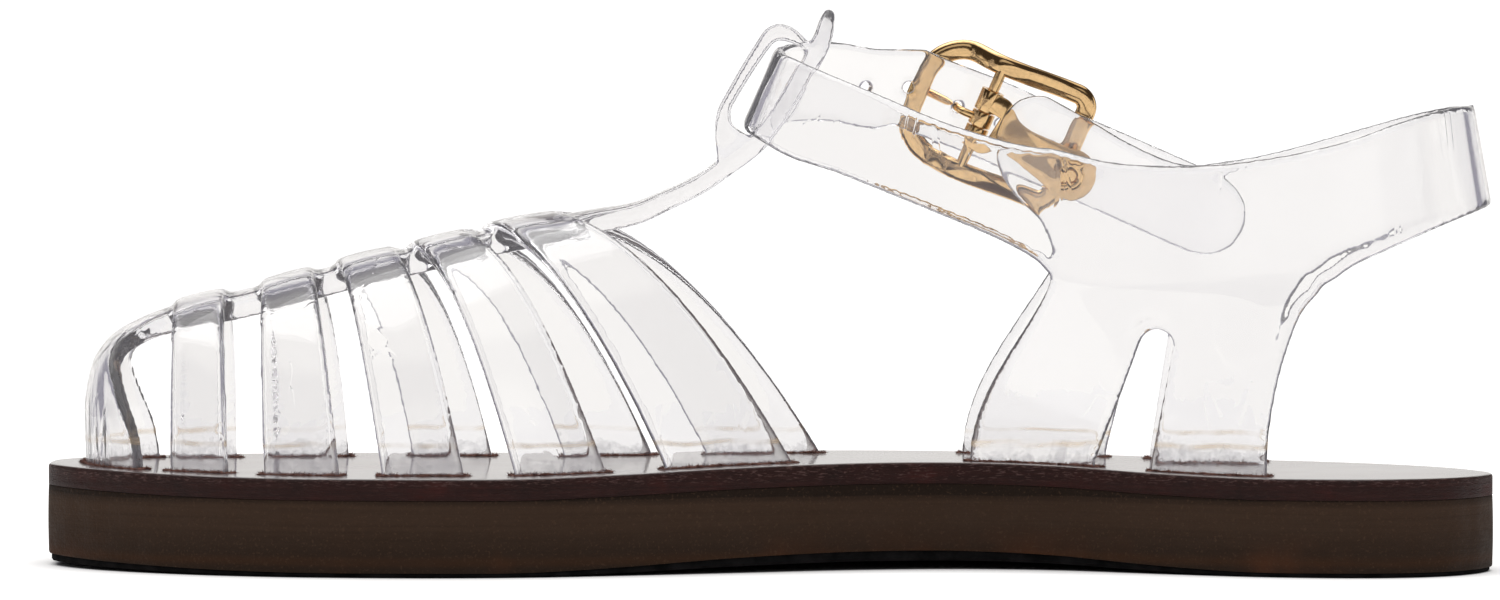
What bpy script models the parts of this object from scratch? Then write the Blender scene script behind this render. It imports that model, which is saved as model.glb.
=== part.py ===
"""Clear moulded fisherman sandal, right shoe, on a flat brown sole.

Toe at -X, heel at +X, inner (medial) side at -Y, outer (lateral) side at +Y,
floor at z = 0. Lengths are metres. Tables hold shares of the named sizes.
"""

import math
from collections import namedtuple

import bmesh
import bpy
from mathutils import Matrix, Vector

MEDIAL = -1
LATERAL = 1
FIT_GAP = 0.0003

# Sole
SOLE_LENGTH = 0.254
BALL_WIDTH = 0.094
OUTSOLE_THICKNESS = 0.0010
MIDSOLE_THICKNESS = 0.0117
FOOTBED_THICKNESS = 0.0037
FOOTBED_EDGE_ROUND = 0.0005
OUTSOLE_INSET = 0.0005
WAIST_RISE = 0.0017
MIDSOLE_BOTTOM = OUTSOLE_THICKNESS + FIT_GAP
FOOTBED_BOTTOM = MIDSOLE_BOTTOM + MIDSOLE_THICKNESS + FIT_GAP
FOOTBED_TOP = FOOTBED_BOTTOM + FOOTBED_THICKNESS

# Cage over the forefoot
INSTEP_HEIGHT = 0.048
SPINE_WIDTH = 0.015
SPINE_THICKNESS = 0.0042
LEG_THICKNESS = 0.0026
LEG_STEP = 0.0010
LEG_INSET = 0.0120
LEG_SWEEP = 0.6
LAST_FULLNESS = 2.2
LEG_TURNS = (0, 9, 18, 28, 39, 50, 61, 72, 82, 90)

# Heel piece and ankle strap
ANKLE_HEIGHT = 0.0645
ANKLE_WIDTH = 0.054
WALL_THICKNESS = 0.0021
STRAP_WIDTH = 0.015
STRUT_INSET = 0.0075
PANEL_STEPS = (0.14, 0.3, 0.48, 0.66, 0.84, 1.0)

# Keeper loop on the tongue
LOOP_ALONG = 0.0
LOOP_HEIGHT = 1.39583 * INSTEP_HEIGHT
LOOP_TILT = math.radians(24)
KEEPER_WIDTH = 0.0124
STRAP_SET_FORWARD = 0.0003

# Buckle on the outer side
BUCKLE_ALONG = 0.15276 * SOLE_LENGTH
BUCKLE_HEIGHT = 0.94884 * ANKLE_HEIGHT
BUCKLE_SLOPE = math.radians(23)
LATERAL_LEAN = math.radians(8)
WALL_LEVEL = 0.82171 * ANKLE_HEIGHT
FRAME_BAR = 0.0015
CENTRE_BAR = 0.0010
FRAME_SIDE_ROOM = 0.0014
D_REACH = 0.0122
KEEPER_REACH = 0.0172
D_CORNER = 0.0075
KEEPER_CORNER = 0.0026
FRAME_BOW = 0.0040
HINGE_THICKNESS = 0.0008
HINGE_LENGTH = 0.0188
HINGE_WAIST = 0.0062
HINGE_END = 0.0048
HINGE_TURN = math.radians(9)
PRONG_RADIUS = 0.0007
PRONG_ROLL = 0.0026
RIVET_RADIUS = 0.0015
RIVET_HEAD = 0.0025
RIVET_HEAD_HEIGHT = 0.0005
STRAP_HOLE = 0.0014
HOLE_PITCH = 0.0094
HOLE_FIRST = -0.0052
HOLES_BEFORE = 2
HOLES_AFTER = 3
STRAP_END = 0.0516

SoleSection = namedtuple("SoleSection", "along medial lateral medial_rise lateral_rise")
SOLE_SECTIONS = [
    SoleSection(-0.5000, -0.090, 0.032, 0.53, 0.53),
    SoleSection(-0.4930, -0.142, 0.098, 0.50, 0.50),
    SoleSection(-0.4780, -0.208, 0.174, 0.44, 0.44),
    SoleSection(-0.4570, -0.272, 0.258, 0.35, 0.35),
    SoleSection(-0.4210, -0.350, 0.352, 0.22, 0.22),
    SoleSection(-0.3740, -0.420, 0.432, 0.08, 0.08),
    SoleSection(-0.3150, -0.471, 0.485, 0.00, 0.00),
    SoleSection(-0.2360, -0.496, 0.504, 0.00, 0.00),
    SoleSection(-0.1650, -0.480, 0.500, 0.00, 0.00),
    SoleSection(-0.0980, -0.426, 0.470, 0.29, 0.12),
    SoleSection(-0.0200, -0.349, 0.436, 0.76, 0.35),
    SoleSection(0.0590, -0.268, 0.397, 1.00, 0.53),
    SoleSection(0.1300, -0.236, 0.368, 1.00, 0.53),
    SoleSection(0.1970, -0.270, 0.339, 0.76, 0.41),
    SoleSection(0.2640, -0.368, 0.306, 0.29, 0.18),
    SoleSection(0.3270, -0.452, 0.254, 0.00, 0.00),
    SoleSection(0.3860, -0.492, 0.171, 0.00, 0.00),
    SoleSection(0.4290, -0.486, 0.086, 0.00, 0.00),
    SoleSection(0.4630, -0.444, -0.010, 0.00, 0.00),
    SoleSection(0.4840, -0.380, -0.100, 0.00, 0.00),
    SoleSection(0.4960, -0.314, -0.185, 0.00, 0.00),
    SoleSection(0.5000, -0.275, -0.224, 0.00, 0.00),
]

# Middle line of the last and the height of the spine over the footbed
RidgeSection = namedtuple("RidgeSection", "along middle height")
RIDGE_SECTIONS = [
    RidgeSection(-0.5000, 0.000, 0.380),
    RidgeSection(-0.4480, 0.010, 0.545),
    RidgeSection(-0.4100, 0.014, 0.602),
    RidgeSection(-0.3540, 0.014, 0.669),
    RidgeSection(-0.2990, 0.011, 0.748),
    RidgeSection(-0.2480, 0.006, 0.812),
    RidgeSection(-0.1890, 0.000, 0.887),
    RidgeSection(-0.1500, -0.006, 0.925),
    RidgeSection(-0.0870, -0.018, 0.965),
    RidgeSection(0.0000, -0.032, 1.000),
    RidgeSection(0.0600, -0.042, 1.010),
]

# Toe wrap from the footbed up to the spine, then the tongue past the last strap
SpineSection = namedtuple("SpineSection", "along height half bow thickness")
TOE_SECTIONS = [
    SpineSection(-0.4768, 0.000, 1.480, 0.310, 0.60),
    SpineSection(-0.4772, 0.120, 1.440, 0.310, 0.60),
    SpineSection(-0.4772, 0.250, 1.320, 0.310, 0.62),
    SpineSection(-0.4712, 0.396, 1.020, 0.310, 0.66),
    SpineSection(-0.4614, 0.473, 0.800, 0.310, 0.70),
    SpineSection(-0.4504, 0.517, 0.650, 0.310, 0.76),
    SpineSection(-0.4290, 0.571, 0.540, 0.300, 0.86),
]
SPINE_RUN = (-0.405, -0.379, -0.354, -0.327, -0.299, -0.275, -0.250, -0.222, -0.195, -0.170, -0.148)
RUN_SECTION = SpineSection(0.0, 0.0, 0.500, 0.290, 1.00)
TONGUE_SECTIONS = [
    SpineSection(-0.1220, 0.953, 0.480, 0.350, 0.92),
    SpineSection(-0.0945, 0.976, 0.460, 0.450, 0.86),
    SpineSection(-0.0728, 1.020, 0.450, 0.700, 0.80),
    SpineSection(-0.0496, 1.078, 0.450, 0.900, 0.79),
    SpineSection(-0.0342, 1.133, 0.450, 1.200, 0.79),
    SpineSection(-0.0108, 1.227, 0.450, 1.200, 0.79),
    SpineSection(0.0068, 1.342, 0.450, 1.200, 0.79),
    SpineSection(0.0217, 1.480, 0.450, 1.200, 0.79),
    SpineSection(0.0315, 1.578, 0.430, 1.200, 0.79),
    SpineSection(0.0362, 1.645, 0.330, 1.200, 0.72),
    SpineSection(0.0420, 1.700, 0.130, 1.200, 0.45),
]

# Cross straps: front and rear edge on the spine and at each foot
CrossStrap = namedtuple("CrossStrap", "name top medial lateral")
CROSS_STRAPS = [
    CrossStrap("first", (-0.4150, -0.3790), (-0.4130, -0.3725), (-0.4210, -0.3800)),
    CrossStrap("second", (-0.3543, -0.3185), (-0.3465, -0.2930), (-0.3520, -0.2990)),
    CrossStrap("third", (-0.3024, -0.2626), (-0.2642, -0.2063), (-0.2540, -0.1957)),
    CrossStrap("fourth", (-0.2512, -0.2142), (-0.1720, -0.1087), (-0.1440, -0.0800)),
    CrossStrap("fifth", (-0.1996, -0.1512), (-0.0681, 0.0197), (-0.0430, 0.0400)),
]

# Inner side from the middle of the keeper loop to the back of the heel
WallSection = namedtuple("WallSection", "along across middle spread lean")
MEDIAL_SECTIONS = [
    WallSection(-0.0050, -0.195, 1.038, 0.970, 22),
    WallSection(0.0020, -0.256, 1.022, 1.030, 20),
    WallSection(0.0197, -0.326, 0.987, 1.110, 16),
    WallSection(0.0472, -0.393, 0.947, 1.085, 13),
    WallSection(0.0787, -0.448, 0.897, 1.090, 11),
    WallSection(0.1181, -0.500, 0.833, 1.085, 10),
    WallSection(0.1614, -0.544, 0.770, 1.170, 9),
    WallSection(0.1860, -0.566, 0.733, 1.320, 8),
    WallSection(0.1960, -0.575, 0.712, 1.480, 8),
    WallSection(0.2283, -0.607, 0.682, 1.460, 7),
    WallSection(0.2661, -0.648, 0.675, 1.407, 6),
    WallSection(0.3071, -0.700, 0.677, 1.427, 5),
    WallSection(0.3504, -0.742, 0.688, 1.527, 4),
    WallSection(0.3791, -0.758, 0.704, 1.593, 4),
    WallSection(0.3996, -0.758, 0.740, 1.460, 5),
    WallSection(0.4291, -0.733, 0.786, 1.400, 6),
    WallSection(0.4606, -0.643, 0.829, 1.320, 8),
    WallSection(0.4850, -0.505, 0.855, 1.240, 10),
    WallSection(0.4932, -0.410, 0.861, 1.200, 10),
    WallSection(0.4953, -0.311, 0.863, 1.180, 10),
]

# Outer side from the round end of the tab to the heel
LATERAL_SECTIONS = [
    WallSection(0.1630, 0.3574, 0.880, 0.367, 8),
    WallSection(0.1677, 0.3574, 0.876, 0.760, 8),
    WallSection(0.1783, 0.3574, 0.870, 1.187, 8),
    WallSection(0.1949, 0.3574, 0.845, 1.533, 8),
    WallSection(0.2060, 0.3574, 0.790, 1.840, 8),
    WallSection(0.2283, 0.3574, 0.734, 1.913, 8),
    WallSection(0.2598, 0.3450, 0.698, 1.607, 8),
    WallSection(0.2953, 0.3200, 0.671, 1.373, 8),
    WallSection(0.3307, 0.2850, 0.677, 1.420, 7),
    WallSection(0.3560, 0.2480, 0.686, 1.500, 6),
    WallSection(0.3791, 0.2050, 0.701, 1.573, 6),
    WallSection(0.3996, 0.1600, 0.740, 1.440, 6),
    WallSection(0.4291, 0.0900, 0.783, 1.367, 7),
    WallSection(0.4606, -0.0050, 0.826, 1.293, 9),
    WallSection(0.4850, -0.1350, 0.853, 1.230, 10),
    WallSection(0.4932, -0.2200, 0.860, 1.190, 10),
]

# Outer run of the ankle strap from the keeper loop to the buckle
FAR_STRAP_SECTIONS = [
    WallSection(-0.0050, 0.085, 1.045, 0.950, 22),
    WallSection(0.0030, 0.148, 1.053, 0.960, 20),
    WallSection(0.0210, 0.210, 1.060, 0.960, 16),
    WallSection(0.0470, 0.282, 1.060, 0.960, 12),
    WallSection(0.0740, 0.342, 1.040, 0.980, 10),
]

# Below the wall: where each column of the side panel leaves it and meets the sole
PanelColumn = namedtuple("PanelColumn", "section foot bend")
MEDIAL_PANEL = [
    PanelColumn(8, 0.1400, 1.30),
    PanelColumn(9, 0.1880, 1.15),
    PanelColumn(10, 0.2400, 1.00),
    PanelColumn(11, 0.2850, 0.90),
    PanelColumn(12, 0.3190, 0.75),
    PanelColumn(13, 0.3410, 0.65),
]
LATERAL_PANEL = [
    PanelColumn(4, 0.1400, 1.20),
    PanelColumn(5, 0.1900, 1.10),
    PanelColumn(6, 0.2400, 1.00),
    PanelColumn(7, 0.2780, 0.95),
    PanelColumn(8, 0.3110, 0.80),
    PanelColumn(10, 0.3520, 0.65),
]

# Arched opening between the two struts of a side
Notch = namedtuple("Notch", "side foot_front foot_rear top_along top_height top_radius")
NOTCHES = [
    Notch(MEDIAL, 0.2270, 0.2640, 0.2672, 0.350, 0.0029),
    Notch(LATERAL, 0.2420, 0.2720, 0.2740, 0.350, 0.0029),
]

# Keeper loop beside the strap, across and along it, in strap widths
KEEPER_OUTLINE = [
    (-0.150, -1.000), (-0.300, -0.800), (-0.415, -0.530), (-0.425, -0.320), (-0.310, 0.610),
    (-0.240, 0.730), (-0.130, 0.785), (0.010, 0.790), (0.160, 0.740), (0.330, 0.620),
    (0.340, 0.380), (0.270, -0.120), (0.150, -0.540), (0.040, -0.880),
]
KEEPER_SLOT = [
    (-0.160, -0.560), (-0.245, -0.500), (-0.285, -0.330), (-0.150, 0.540),
    (-0.080, 0.600), (0.140, 0.620), (0.330, 0.560), (0.260, -0.120), (0.150, -0.560),
]

# Prong from under the strap up through the hole, in shares of the hole's place and of the rise
PRONG_RISE = [(0.66, 0.0), (0.82, 0.16), (0.92, 0.45), (1.0, 0.85), (1.14, 1.0)]
PRONG_LANDING = 0.85

# Half outline of the hinge plate, in shares of its length and of its waist
HINGE_OUTLINE = [(0.0, 1.77), (0.15, 1.77), (0.30, 1.15), (0.45, 1.0), (0.60, 1.1)]

Finish = namedtuple("Finish", "colour roughness metallic")
FINISHES = {
    "black_rubber": Finish((0.012, 0.011, 0.011), 0.70, 0.0),
    "brown_midsole": Finish((0.041, 0.023, 0.017), 0.65, 0.0),
    "brown_leather": Finish((0.042, 0.017, 0.014), 0.40, 0.0),
    "clear_pvc": Finish((0.80, 0.79, 0.80), 0.12, 0.0),
    "gold_metal": Finish((0.83, 0.62, 0.30), 0.15, 1.0),
}


def smooth_value(table, column, at):
    """Read a column at a place along the table, on a smooth curve through its rows."""
    places = [row.along for row in table]
    values = [getattr(row, column) for row in table]
    last = len(table) - 1
    at = min(max(at, places[0]), places[last])
    low = max(i for i in range(last) if places[i] <= at)

    def slope(i):
        before, after = max(i - 1, 0), min(i + 1, last)
        return (values[after] - values[before]) / (places[after] - places[before])

    span = places[low + 1] - places[low]
    t = (at - places[low]) / span
    start, end = slope(low) * span, slope(low + 1) * span
    step = values[low + 1] - values[low]
    return values[low] + t * (start + t * (3 * step - 2 * start - end + t * (start + end - 2 * step)))


def sole_edge(x, side):
    column = "medial" if side == MEDIAL else "lateral"
    return smooth_value(SOLE_SECTIONS, column, x / SOLE_LENGTH) * BALL_WIDTH


def sole_rise(x, y):
    """Rise of every sole layer at a place, shared between its two edges."""
    inner, outer = sole_edge(x, MEDIAL), sole_edge(x, LATERAL)
    share = min(max((y - inner) / (outer - inner), 0.0), 1.0)
    medial = smooth_value(SOLE_SECTIONS, "medial_rise", x / SOLE_LENGTH)
    lateral = smooth_value(SOLE_SECTIONS, "lateral_rise", x / SOLE_LENGTH)
    return WAIST_RISE * (medial + (lateral - medial) * share)


def footbed_height(x, y):
    return FOOTBED_TOP + sole_rise(x, y)


def middle_line(x):
    return smooth_value(RIDGE_SECTIONS, "middle", x / SOLE_LENGTH) * BALL_WIDTH


def ridge_height(x):
    return FOOTBED_TOP + smooth_value(RIDGE_SECTIONS, "height", x / SOLE_LENGTH) * INSTEP_HEIGHT


def foot_line(x, side, inset):
    return sole_edge(x, side) - side * inset


def shell_object(name, shell, home):
    """Turn a bmesh into an object and free it."""
    mesh = bpy.data.meshes.new(name)
    shell.to_mesh(mesh)
    shell.free()
    return place(bpy.data.objects.new(name, mesh), home)


def place(obj, collection):
    collection.objects.link(obj)
    return obj


def evaluated_mesh(obj):
    graph = bpy.context.evaluated_depsgraph_get()
    return bpy.data.meshes.new_from_object(obj.evaluated_get(graph))


def bake(obj):
    """Turn an object and its modifiers into a plain mesh object of the same name."""
    name, home = obj.name, obj.users_collection[0]
    mesh = evaluated_mesh(obj)
    mesh.transform(obj.matrix_world)
    bpy.data.objects.remove(obj)
    welded = bmesh.new()
    welded.from_mesh(mesh)
    bmesh.ops.remove_doubles(welded, verts=welded.verts, dist=0.000001)
    bmesh.ops.recalc_face_normals(welded, faces=welded.faces)
    welded.to_mesh(mesh)
    welded.free()
    return place(bpy.data.objects.new(name, mesh), home)


def combine(base, tool, operation):
    """Join a tool to a base, or cut it away, and drop the tool."""
    change = base.modifiers.new(tool.name, "BOOLEAN")
    change.operation = operation
    change.solver = "EXACT"
    change.object = tool
    bpy.context.view_layer.update()
    name, home = base.name, base.users_collection[0]
    mesh = evaluated_mesh(base)
    bpy.data.objects.remove(base)
    bpy.data.objects.remove(tool)
    return place(bpy.data.objects.new(name, mesh), home)


def faces_outward(shell, inside):
    """Turn a consistently wound open sheet so that its faces look away from a point."""
    shell.normal_update()
    facing = sum((f.calc_center_median() - inside).dot(f.normal) * f.calc_area() for f in shell.faces)
    if facing < 0:
        bmesh.ops.reverse_faces(shell, faces=shell.faces)


def add_solidify(obj, thickness, group=None):
    wall = obj.modifiers.new("wall", "SOLIDIFY")
    wall.thickness = thickness
    wall.offset = -1
    wall.use_even_offset = True
    if group:
        wall.vertex_group = group


def sheet(name, rows, thickness, inside, home, shares=None):
    """Wall of a thickness behind a grid of points, one list of points a row."""
    shell = bmesh.new()
    grid = [[shell.verts.new(p) for p in row] for row in rows]
    for near, far in zip(grid, grid[1:]):
        for i in range(len(near) - 1):
            shell.faces.new((near[i], near[i + 1], far[i + 1], far[i]))
    faces_outward(shell, inside)
    obj = shell_object(name, shell, home)
    if shares:
        group = obj.vertex_groups.new(name="share")
        width = len(rows[0])
        for row, share in enumerate(shares):
            group.add(list(range(row * width, (row + 1) * width)), share, "REPLACE")
    add_solidify(obj, thickness, "share" if shares else None)
    return bake(obj)


def flat_plate(name, outlines, thickness, frame, home):
    """Plate of a thickness, centred on the frame's XY plane; later outlines are holes."""
    curve = bpy.data.curves.new(name, "CURVE")
    curve.dimensions = "2D"
    curve.fill_mode = "BOTH"
    curve.extrude = thickness / 2
    for outline in outlines:
        spline = curve.splines.new("POLY")
        spline.points.add(len(outline) - 1)
        for point, (x, y) in zip(spline.points, outline):
            point.co = (x, y, 0, 1)
        spline.use_cyclic_u = True
    obj = place(bpy.data.objects.new(name, curve), home)
    obj.matrix_world = frame
    bpy.context.view_layer.update()
    return bake(obj)


def rod(name, points, radius, home, closed=False):
    """Round rod along points."""
    curve = bpy.data.curves.new(name, "CURVE")
    curve.dimensions = "3D"
    curve.bevel_depth = radius
    curve.bevel_resolution = 2
    curve.use_fill_caps = True
    spline = curve.splines.new("POLY")
    spline.points.add(len(points) - 1)
    for point, co in zip(spline.points, points):
        point.co = (*co, 1)
    spline.use_cyclic_u = closed
    obj = place(bpy.data.objects.new(name, curve), home)
    bpy.context.view_layer.update()
    return bake(obj)


def circle(radius, count=20, centre=(0, 0)):
    steps = [2 * math.pi * i / count for i in range(count)]
    return [(centre[0] + radius * math.cos(a), centre[1] + radius * math.sin(a)) for a in steps]


def pin(name, radius, length, frame, home):
    """Cylinder centred on a frame, along its Z."""
    solid = bmesh.new()
    bmesh.ops.create_cone(
        solid, cap_ends=True, segments=16, radius1=radius, radius2=radius, depth=length, matrix=frame
    )
    return shell_object(name, solid, home)


def frame_at(origin, x_axis, y_axis, z_axis):
    turn = Matrix((x_axis, y_axis, z_axis)).transposed()
    return Matrix.Translation(origin) @ turn.to_4x4()


def sole_layer(name, bottom, thickness, inset, home):
    """One sole layer between the two edges of the sole, raised at waist and toe."""
    stations = []
    for here, after in zip(SOLE_SECTIONS, SOLE_SECTIONS[1:]):
        stations += [here.along, (here.along + after.along) / 2]
    stations.append(SOLE_SECTIONS[-1].along)
    shorten = 1 - 2 * inset / SOLE_LENGTH
    rows = []
    for along in stations:
        x = along * SOLE_LENGTH
        inner = sole_edge(x, MEDIAL) + inset
        outer = sole_edge(x, LATERAL) - inset
        ys = [inner + (outer - inner) * i / 4 for i in range(5)]
        rows.append([Vector((x * shorten, y, bottom + thickness + sole_rise(x, y))) for y in ys])
    return sheet(name, rows, thickness, Vector((0, 0, -1)), home)


def leg_point(strap, side, edge, turn, step):
    """Point of a cross strap's edge, by the angle from the spine down to the foot."""
    share = math.cos(turn) ** (2 / LAST_FULLNESS)
    across = math.sin(turn) ** (2 / LAST_FULLNESS)
    foot = (strap.medial if side == MEDIAL else strap.lateral)
    top_x = (strap.top[0] + (strap.top[1] - strap.top[0]) * edge) * SOLE_LENGTH
    foot_x = (foot[0] + (foot[1] - foot[0]) * edge) * SOLE_LENGTH
    x = top_x + (foot_x - top_x) * (1 - share) ** LEG_SWEEP
    middle = middle_line(x)
    half = abs(foot_line(x, side, LEG_INSET) - middle)
    base = footbed_height(x, foot_line(x, side, LEG_INSET))
    rise = ridge_height(x) - base
    outward = Vector((0, across ** (LAST_FULLNESS - 1) / half * side, share ** (LAST_FULLNESS - 1) / rise))
    return Vector((x, middle + side * half * across, base + rise * share)) + outward.normalized() * step


def strap_foot(strap, side, edge):
    """Plan position of a cross strap's outer face where it enters the footbed."""
    return leg_point(strap, side, edge, math.pi / 2, LEG_STEP)


def cross_strap(strap, home):
    edges = (0.0, 0.5, 1.0)
    rows = []
    for side in (MEDIAL, LATERAL):
        turns = [math.radians(t) for t in LEG_TURNS]
        leg = [[leg_point(strap, side, e, t, LEG_STEP) for e in edges] for t in turns]
        below = [p - Vector((0, 0, FOOTBED_THICKNESS)) for p in leg[-1]]
        leg.append(below)
        rows = leg[::-1] if side == MEDIAL else rows + leg[1:]
    middle = sum(strap.top) / 2 * SOLE_LENGTH
    inside = Vector((middle, middle_line(middle), FOOTBED_TOP))
    return sheet("strap_" + strap.name, rows, LEG_THICKNESS, inside, home)


def spine_sections():
    run = [
        RUN_SECTION._replace(along=a, height=smooth_value(RIDGE_SECTIONS, "height", a))
        for a in SPINE_RUN
    ]
    return TOE_SECTIONS + run + TONGUE_SECTIONS


def spine_rows():
    """Points of the toe wrap, spine and tongue, and the wall's share in each row."""
    sections = spine_sections()
    path = [Vector((s.along * SOLE_LENGTH, 0, FOOTBED_TOP + s.height * INSTEP_HEIGHT)) for s in sections]
    path[0].z = footbed_height(path[0].x, 0)
    across = (-1.0, -0.7, -0.36, 0.0, 0.36, 0.7, 1.0)
    rows, shares = [], []
    for i, section in enumerate(sections):
        tangent = (path[min(i + 1, len(path) - 1)] - path[max(i - 1, 0)]).normalized()
        inward = Vector((tangent.z, 0, -tangent.x))
        half = section.half * SPINE_WIDTH
        radius = section.bow * BALL_WIDTH
        middle = middle_line(path[i].x)
        row = []
        for share in across:
            y = half * share
            sag = radius - math.sqrt(radius ** 2 - y ** 2)
            row.append(path[i] + inward * sag + Vector((0, middle + y, 0)))
        rows.append(row)
        shares.append(section.thickness)
    foot = []
    for p in rows[0]:
        p.z = footbed_height(p.x, p.y)
        foot.append(p - Vector((0, 0, FOOTBED_THICKNESS)))
    return [foot] + rows, [shares[0]] + shares


def loop_frame(lift=0.0):
    """Frame of the keeper loop: X across the strap towards the tongue, Y up along its width."""
    centre = Vector((LOOP_ALONG * SOLE_LENGTH, middle_line(0.0), FOOTBED_TOP + LOOP_HEIGHT))
    across = Vector((math.cos(LOOP_TILT), 0, -math.sin(LOOP_TILT)))
    along = Vector((math.sin(LOOP_TILT), 0, math.cos(LOOP_TILT)))
    return frame_at(centre + across * lift, across, along, across.cross(along))


def scaled(outline, size):
    return [(x * size, y * size) for x, y in outline]


def keeper_loop(home):
    outlines = [scaled(KEEPER_OUTLINE, STRAP_WIDTH), scaled(KEEPER_SLOT, STRAP_WIDTH)]
    return flat_plate("keeper_loop", outlines, KEEPER_WIDTH, loop_frame(), home)


def build_vamp(home):
    """Toe wrap, spine, tongue, cross straps and keeper loop in one piece."""
    rows, shares = spine_rows()
    inside = Vector((-0.3 * SOLE_LENGTH, middle_line(-0.3 * SOLE_LENGTH), FOOTBED_TOP))
    vamp = sheet("vamp", rows, SPINE_THICKNESS, inside, home, shares)
    for strap in CROSS_STRAPS:
        vamp = combine(vamp, cross_strap(strap, home), "UNION")
    return combine(vamp, keeper_loop(home), "UNION")


def lateral_wall(x, z):
    """Outer face of the outer side wall, which leans in towards its top."""
    y = smooth_value(LATERAL_SECTIONS, "across", x / SOLE_LENGTH) * ANKLE_WIDTH
    return y - math.tan(LATERAL_LEAN) * (z - FOOTBED_TOP - WALL_LEVEL)


def wall_columns(sections, before, after, level=None):
    """Low, middle and high point of each wall section, leaning about its middle or a level."""
    points = [Vector((s.along * SOLE_LENGTH, s.across * ANKLE_WIDTH, 0)) for s in sections]
    path = [before.xy.to_3d()] + points + [after.xy.to_3d()]
    columns = []
    for i, section in enumerate(sections):
        tangent = (path[i + 2] - path[i]).normalized()
        inward = Vector((-tangent.y, tangent.x, 0))
        middle = FOOTBED_TOP + section.middle * ANKLE_HEIGHT
        half = section.spread * STRAP_WIDTH / 2
        pivot = middle if level is None else FOOTBED_TOP + level
        column = []
        for z in (middle - half, middle, middle + half):
            shift = math.tan(math.radians(section.lean)) * (z - pivot)
            column.append(points[i] + inward * shift + Vector((0, 0, z)))
        columns.append(column)
    return columns


def loop_columns():
    """The strap between tongue and keeper, flat across the tongue."""
    frame = loop_frame(-STRAP_SET_FORWARD - WALL_THICKNESS / 2)
    half = STRAP_WIDTH / 2
    columns = []
    for z in (-KEEPER_WIDTH * 0.45, 0.0, KEEPER_WIDTH * 0.45):
        columns.append([frame @ Vector((0, y, z)) for y in (-half, 0, half)])
    return columns


def buckle_frame_axes():
    """Origin on the wall's outer face under the centre bar; X along the strap, Y down, Z outward."""
    x = BUCKLE_ALONG
    z = FOOTBED_TOP + BUCKLE_HEIGHT
    outward = Vector((0, math.cos(LATERAL_LEAN), math.sin(LATERAL_LEAN)))
    along = Vector((math.cos(BUCKLE_SLOPE), 0, -math.sin(BUCKLE_SLOPE)))
    along = (along - outward * along.dot(outward)).normalized()
    down = outward.cross(along)
    return frame_at(Vector((x, lateral_wall(x, z), z)), along, down, outward)


HINGE_ROLL = CENTRE_BAR + FIT_GAP + HINGE_THICKNESS
BAR_LEVEL = FIT_GAP + HINGE_ROLL
FRAME_LEVEL = BAR_LEVEL + FRAME_BOW
STRAP_OVER_BAR = BAR_LEVEL + HINGE_ROLL + FIT_GAP + WALL_THICKNESS
STRAP_UNDER_FRAME = FRAME_LEVEL - FRAME_BAR - FIT_GAP
FREE_END_LIFT = WALL_THICKNESS + 0.0012
FRAME_HALF_WIDTH = STRAP_WIDTH / 2 + FRAME_SIDE_ROOM + FRAME_BAR


def strap_level(distance):
    """Height of the strap's outer face over the wall, along the strap from the centre bar."""
    reach = D_REACH if distance < 0 else KEEPER_REACH
    share = min(abs(distance) / (0.8 * reach), 1.0)
    wave = (1 - math.cos(math.pi * share)) / 2
    return STRAP_OVER_BAR + (STRAP_UNDER_FRAME - STRAP_OVER_BAR) * wave


def buckled_columns():
    """The strap from its free end back through the buckle, as columns across it."""
    frame = buckle_frame_axes()
    half = STRAP_WIDTH / 2
    centre = STRAP_END - half
    tip = [centre + half * math.sin(math.radians(a)) for a in (84, 64, 44, 22)]
    free = [centre - 0.22 * (centre - KEEPER_REACH) * i for i in range(4)]
    inside_frame = [KEEPER_REACH * s for s in (1.25, 1.0, 0.8, 0.6, 0.4, 0.2, 0)]
    before_bar = [-D_REACH * s for s in (0.25, 0.5, 0.75, 1.0, 1.2)]
    columns = []
    for distance in tip + free + inside_frame + before_bar:
        past = max(distance - centre, 0)
        reach = math.sqrt(max(half ** 2 - past ** 2, 0))
        middle = frame @ Vector((distance, 0, 0))
        level = strap_level(distance)
        wall = (lateral_wall(middle.x, middle.z) - middle.y) / math.cos(LATERAL_LEAN)
        free_share = min(max((distance - 1.1 * KEEPER_REACH) / (0.6 * KEEPER_REACH), 0), 1)
        if distance > 0:
            level = level + wall
        level += (wall + FREE_END_LIFT - level) * free_share
        columns.append([frame @ Vector((distance, y, level)) for y in (reach, 0, -reach)])
    return columns


def panel_rows(columns, panel, side):
    """Points below the wall, down each side strut and into the sole."""
    rows = []
    for step in PANEL_STEPS:
        row = []
        for item in panel:
            top = columns[item.section][0]
            x_foot = item.foot * SOLE_LENGTH
            y_foot = foot_line(x_foot, side, STRUT_INSET)
            x = top.x + (x_foot - top.x) * math.sin(step * math.pi / 2) ** item.bend
            y = top.y + (y_foot - top.y) * step ** 1.35
            row.append(Vector((x, y, top.z + (footbed_height(x_foot, y_foot) - top.z) * step)))
        rows.append(row)
    rows.append([p - Vector((0, 0, FOOTBED_THICKNESS)) for p in rows[-1]])
    return rows


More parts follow.
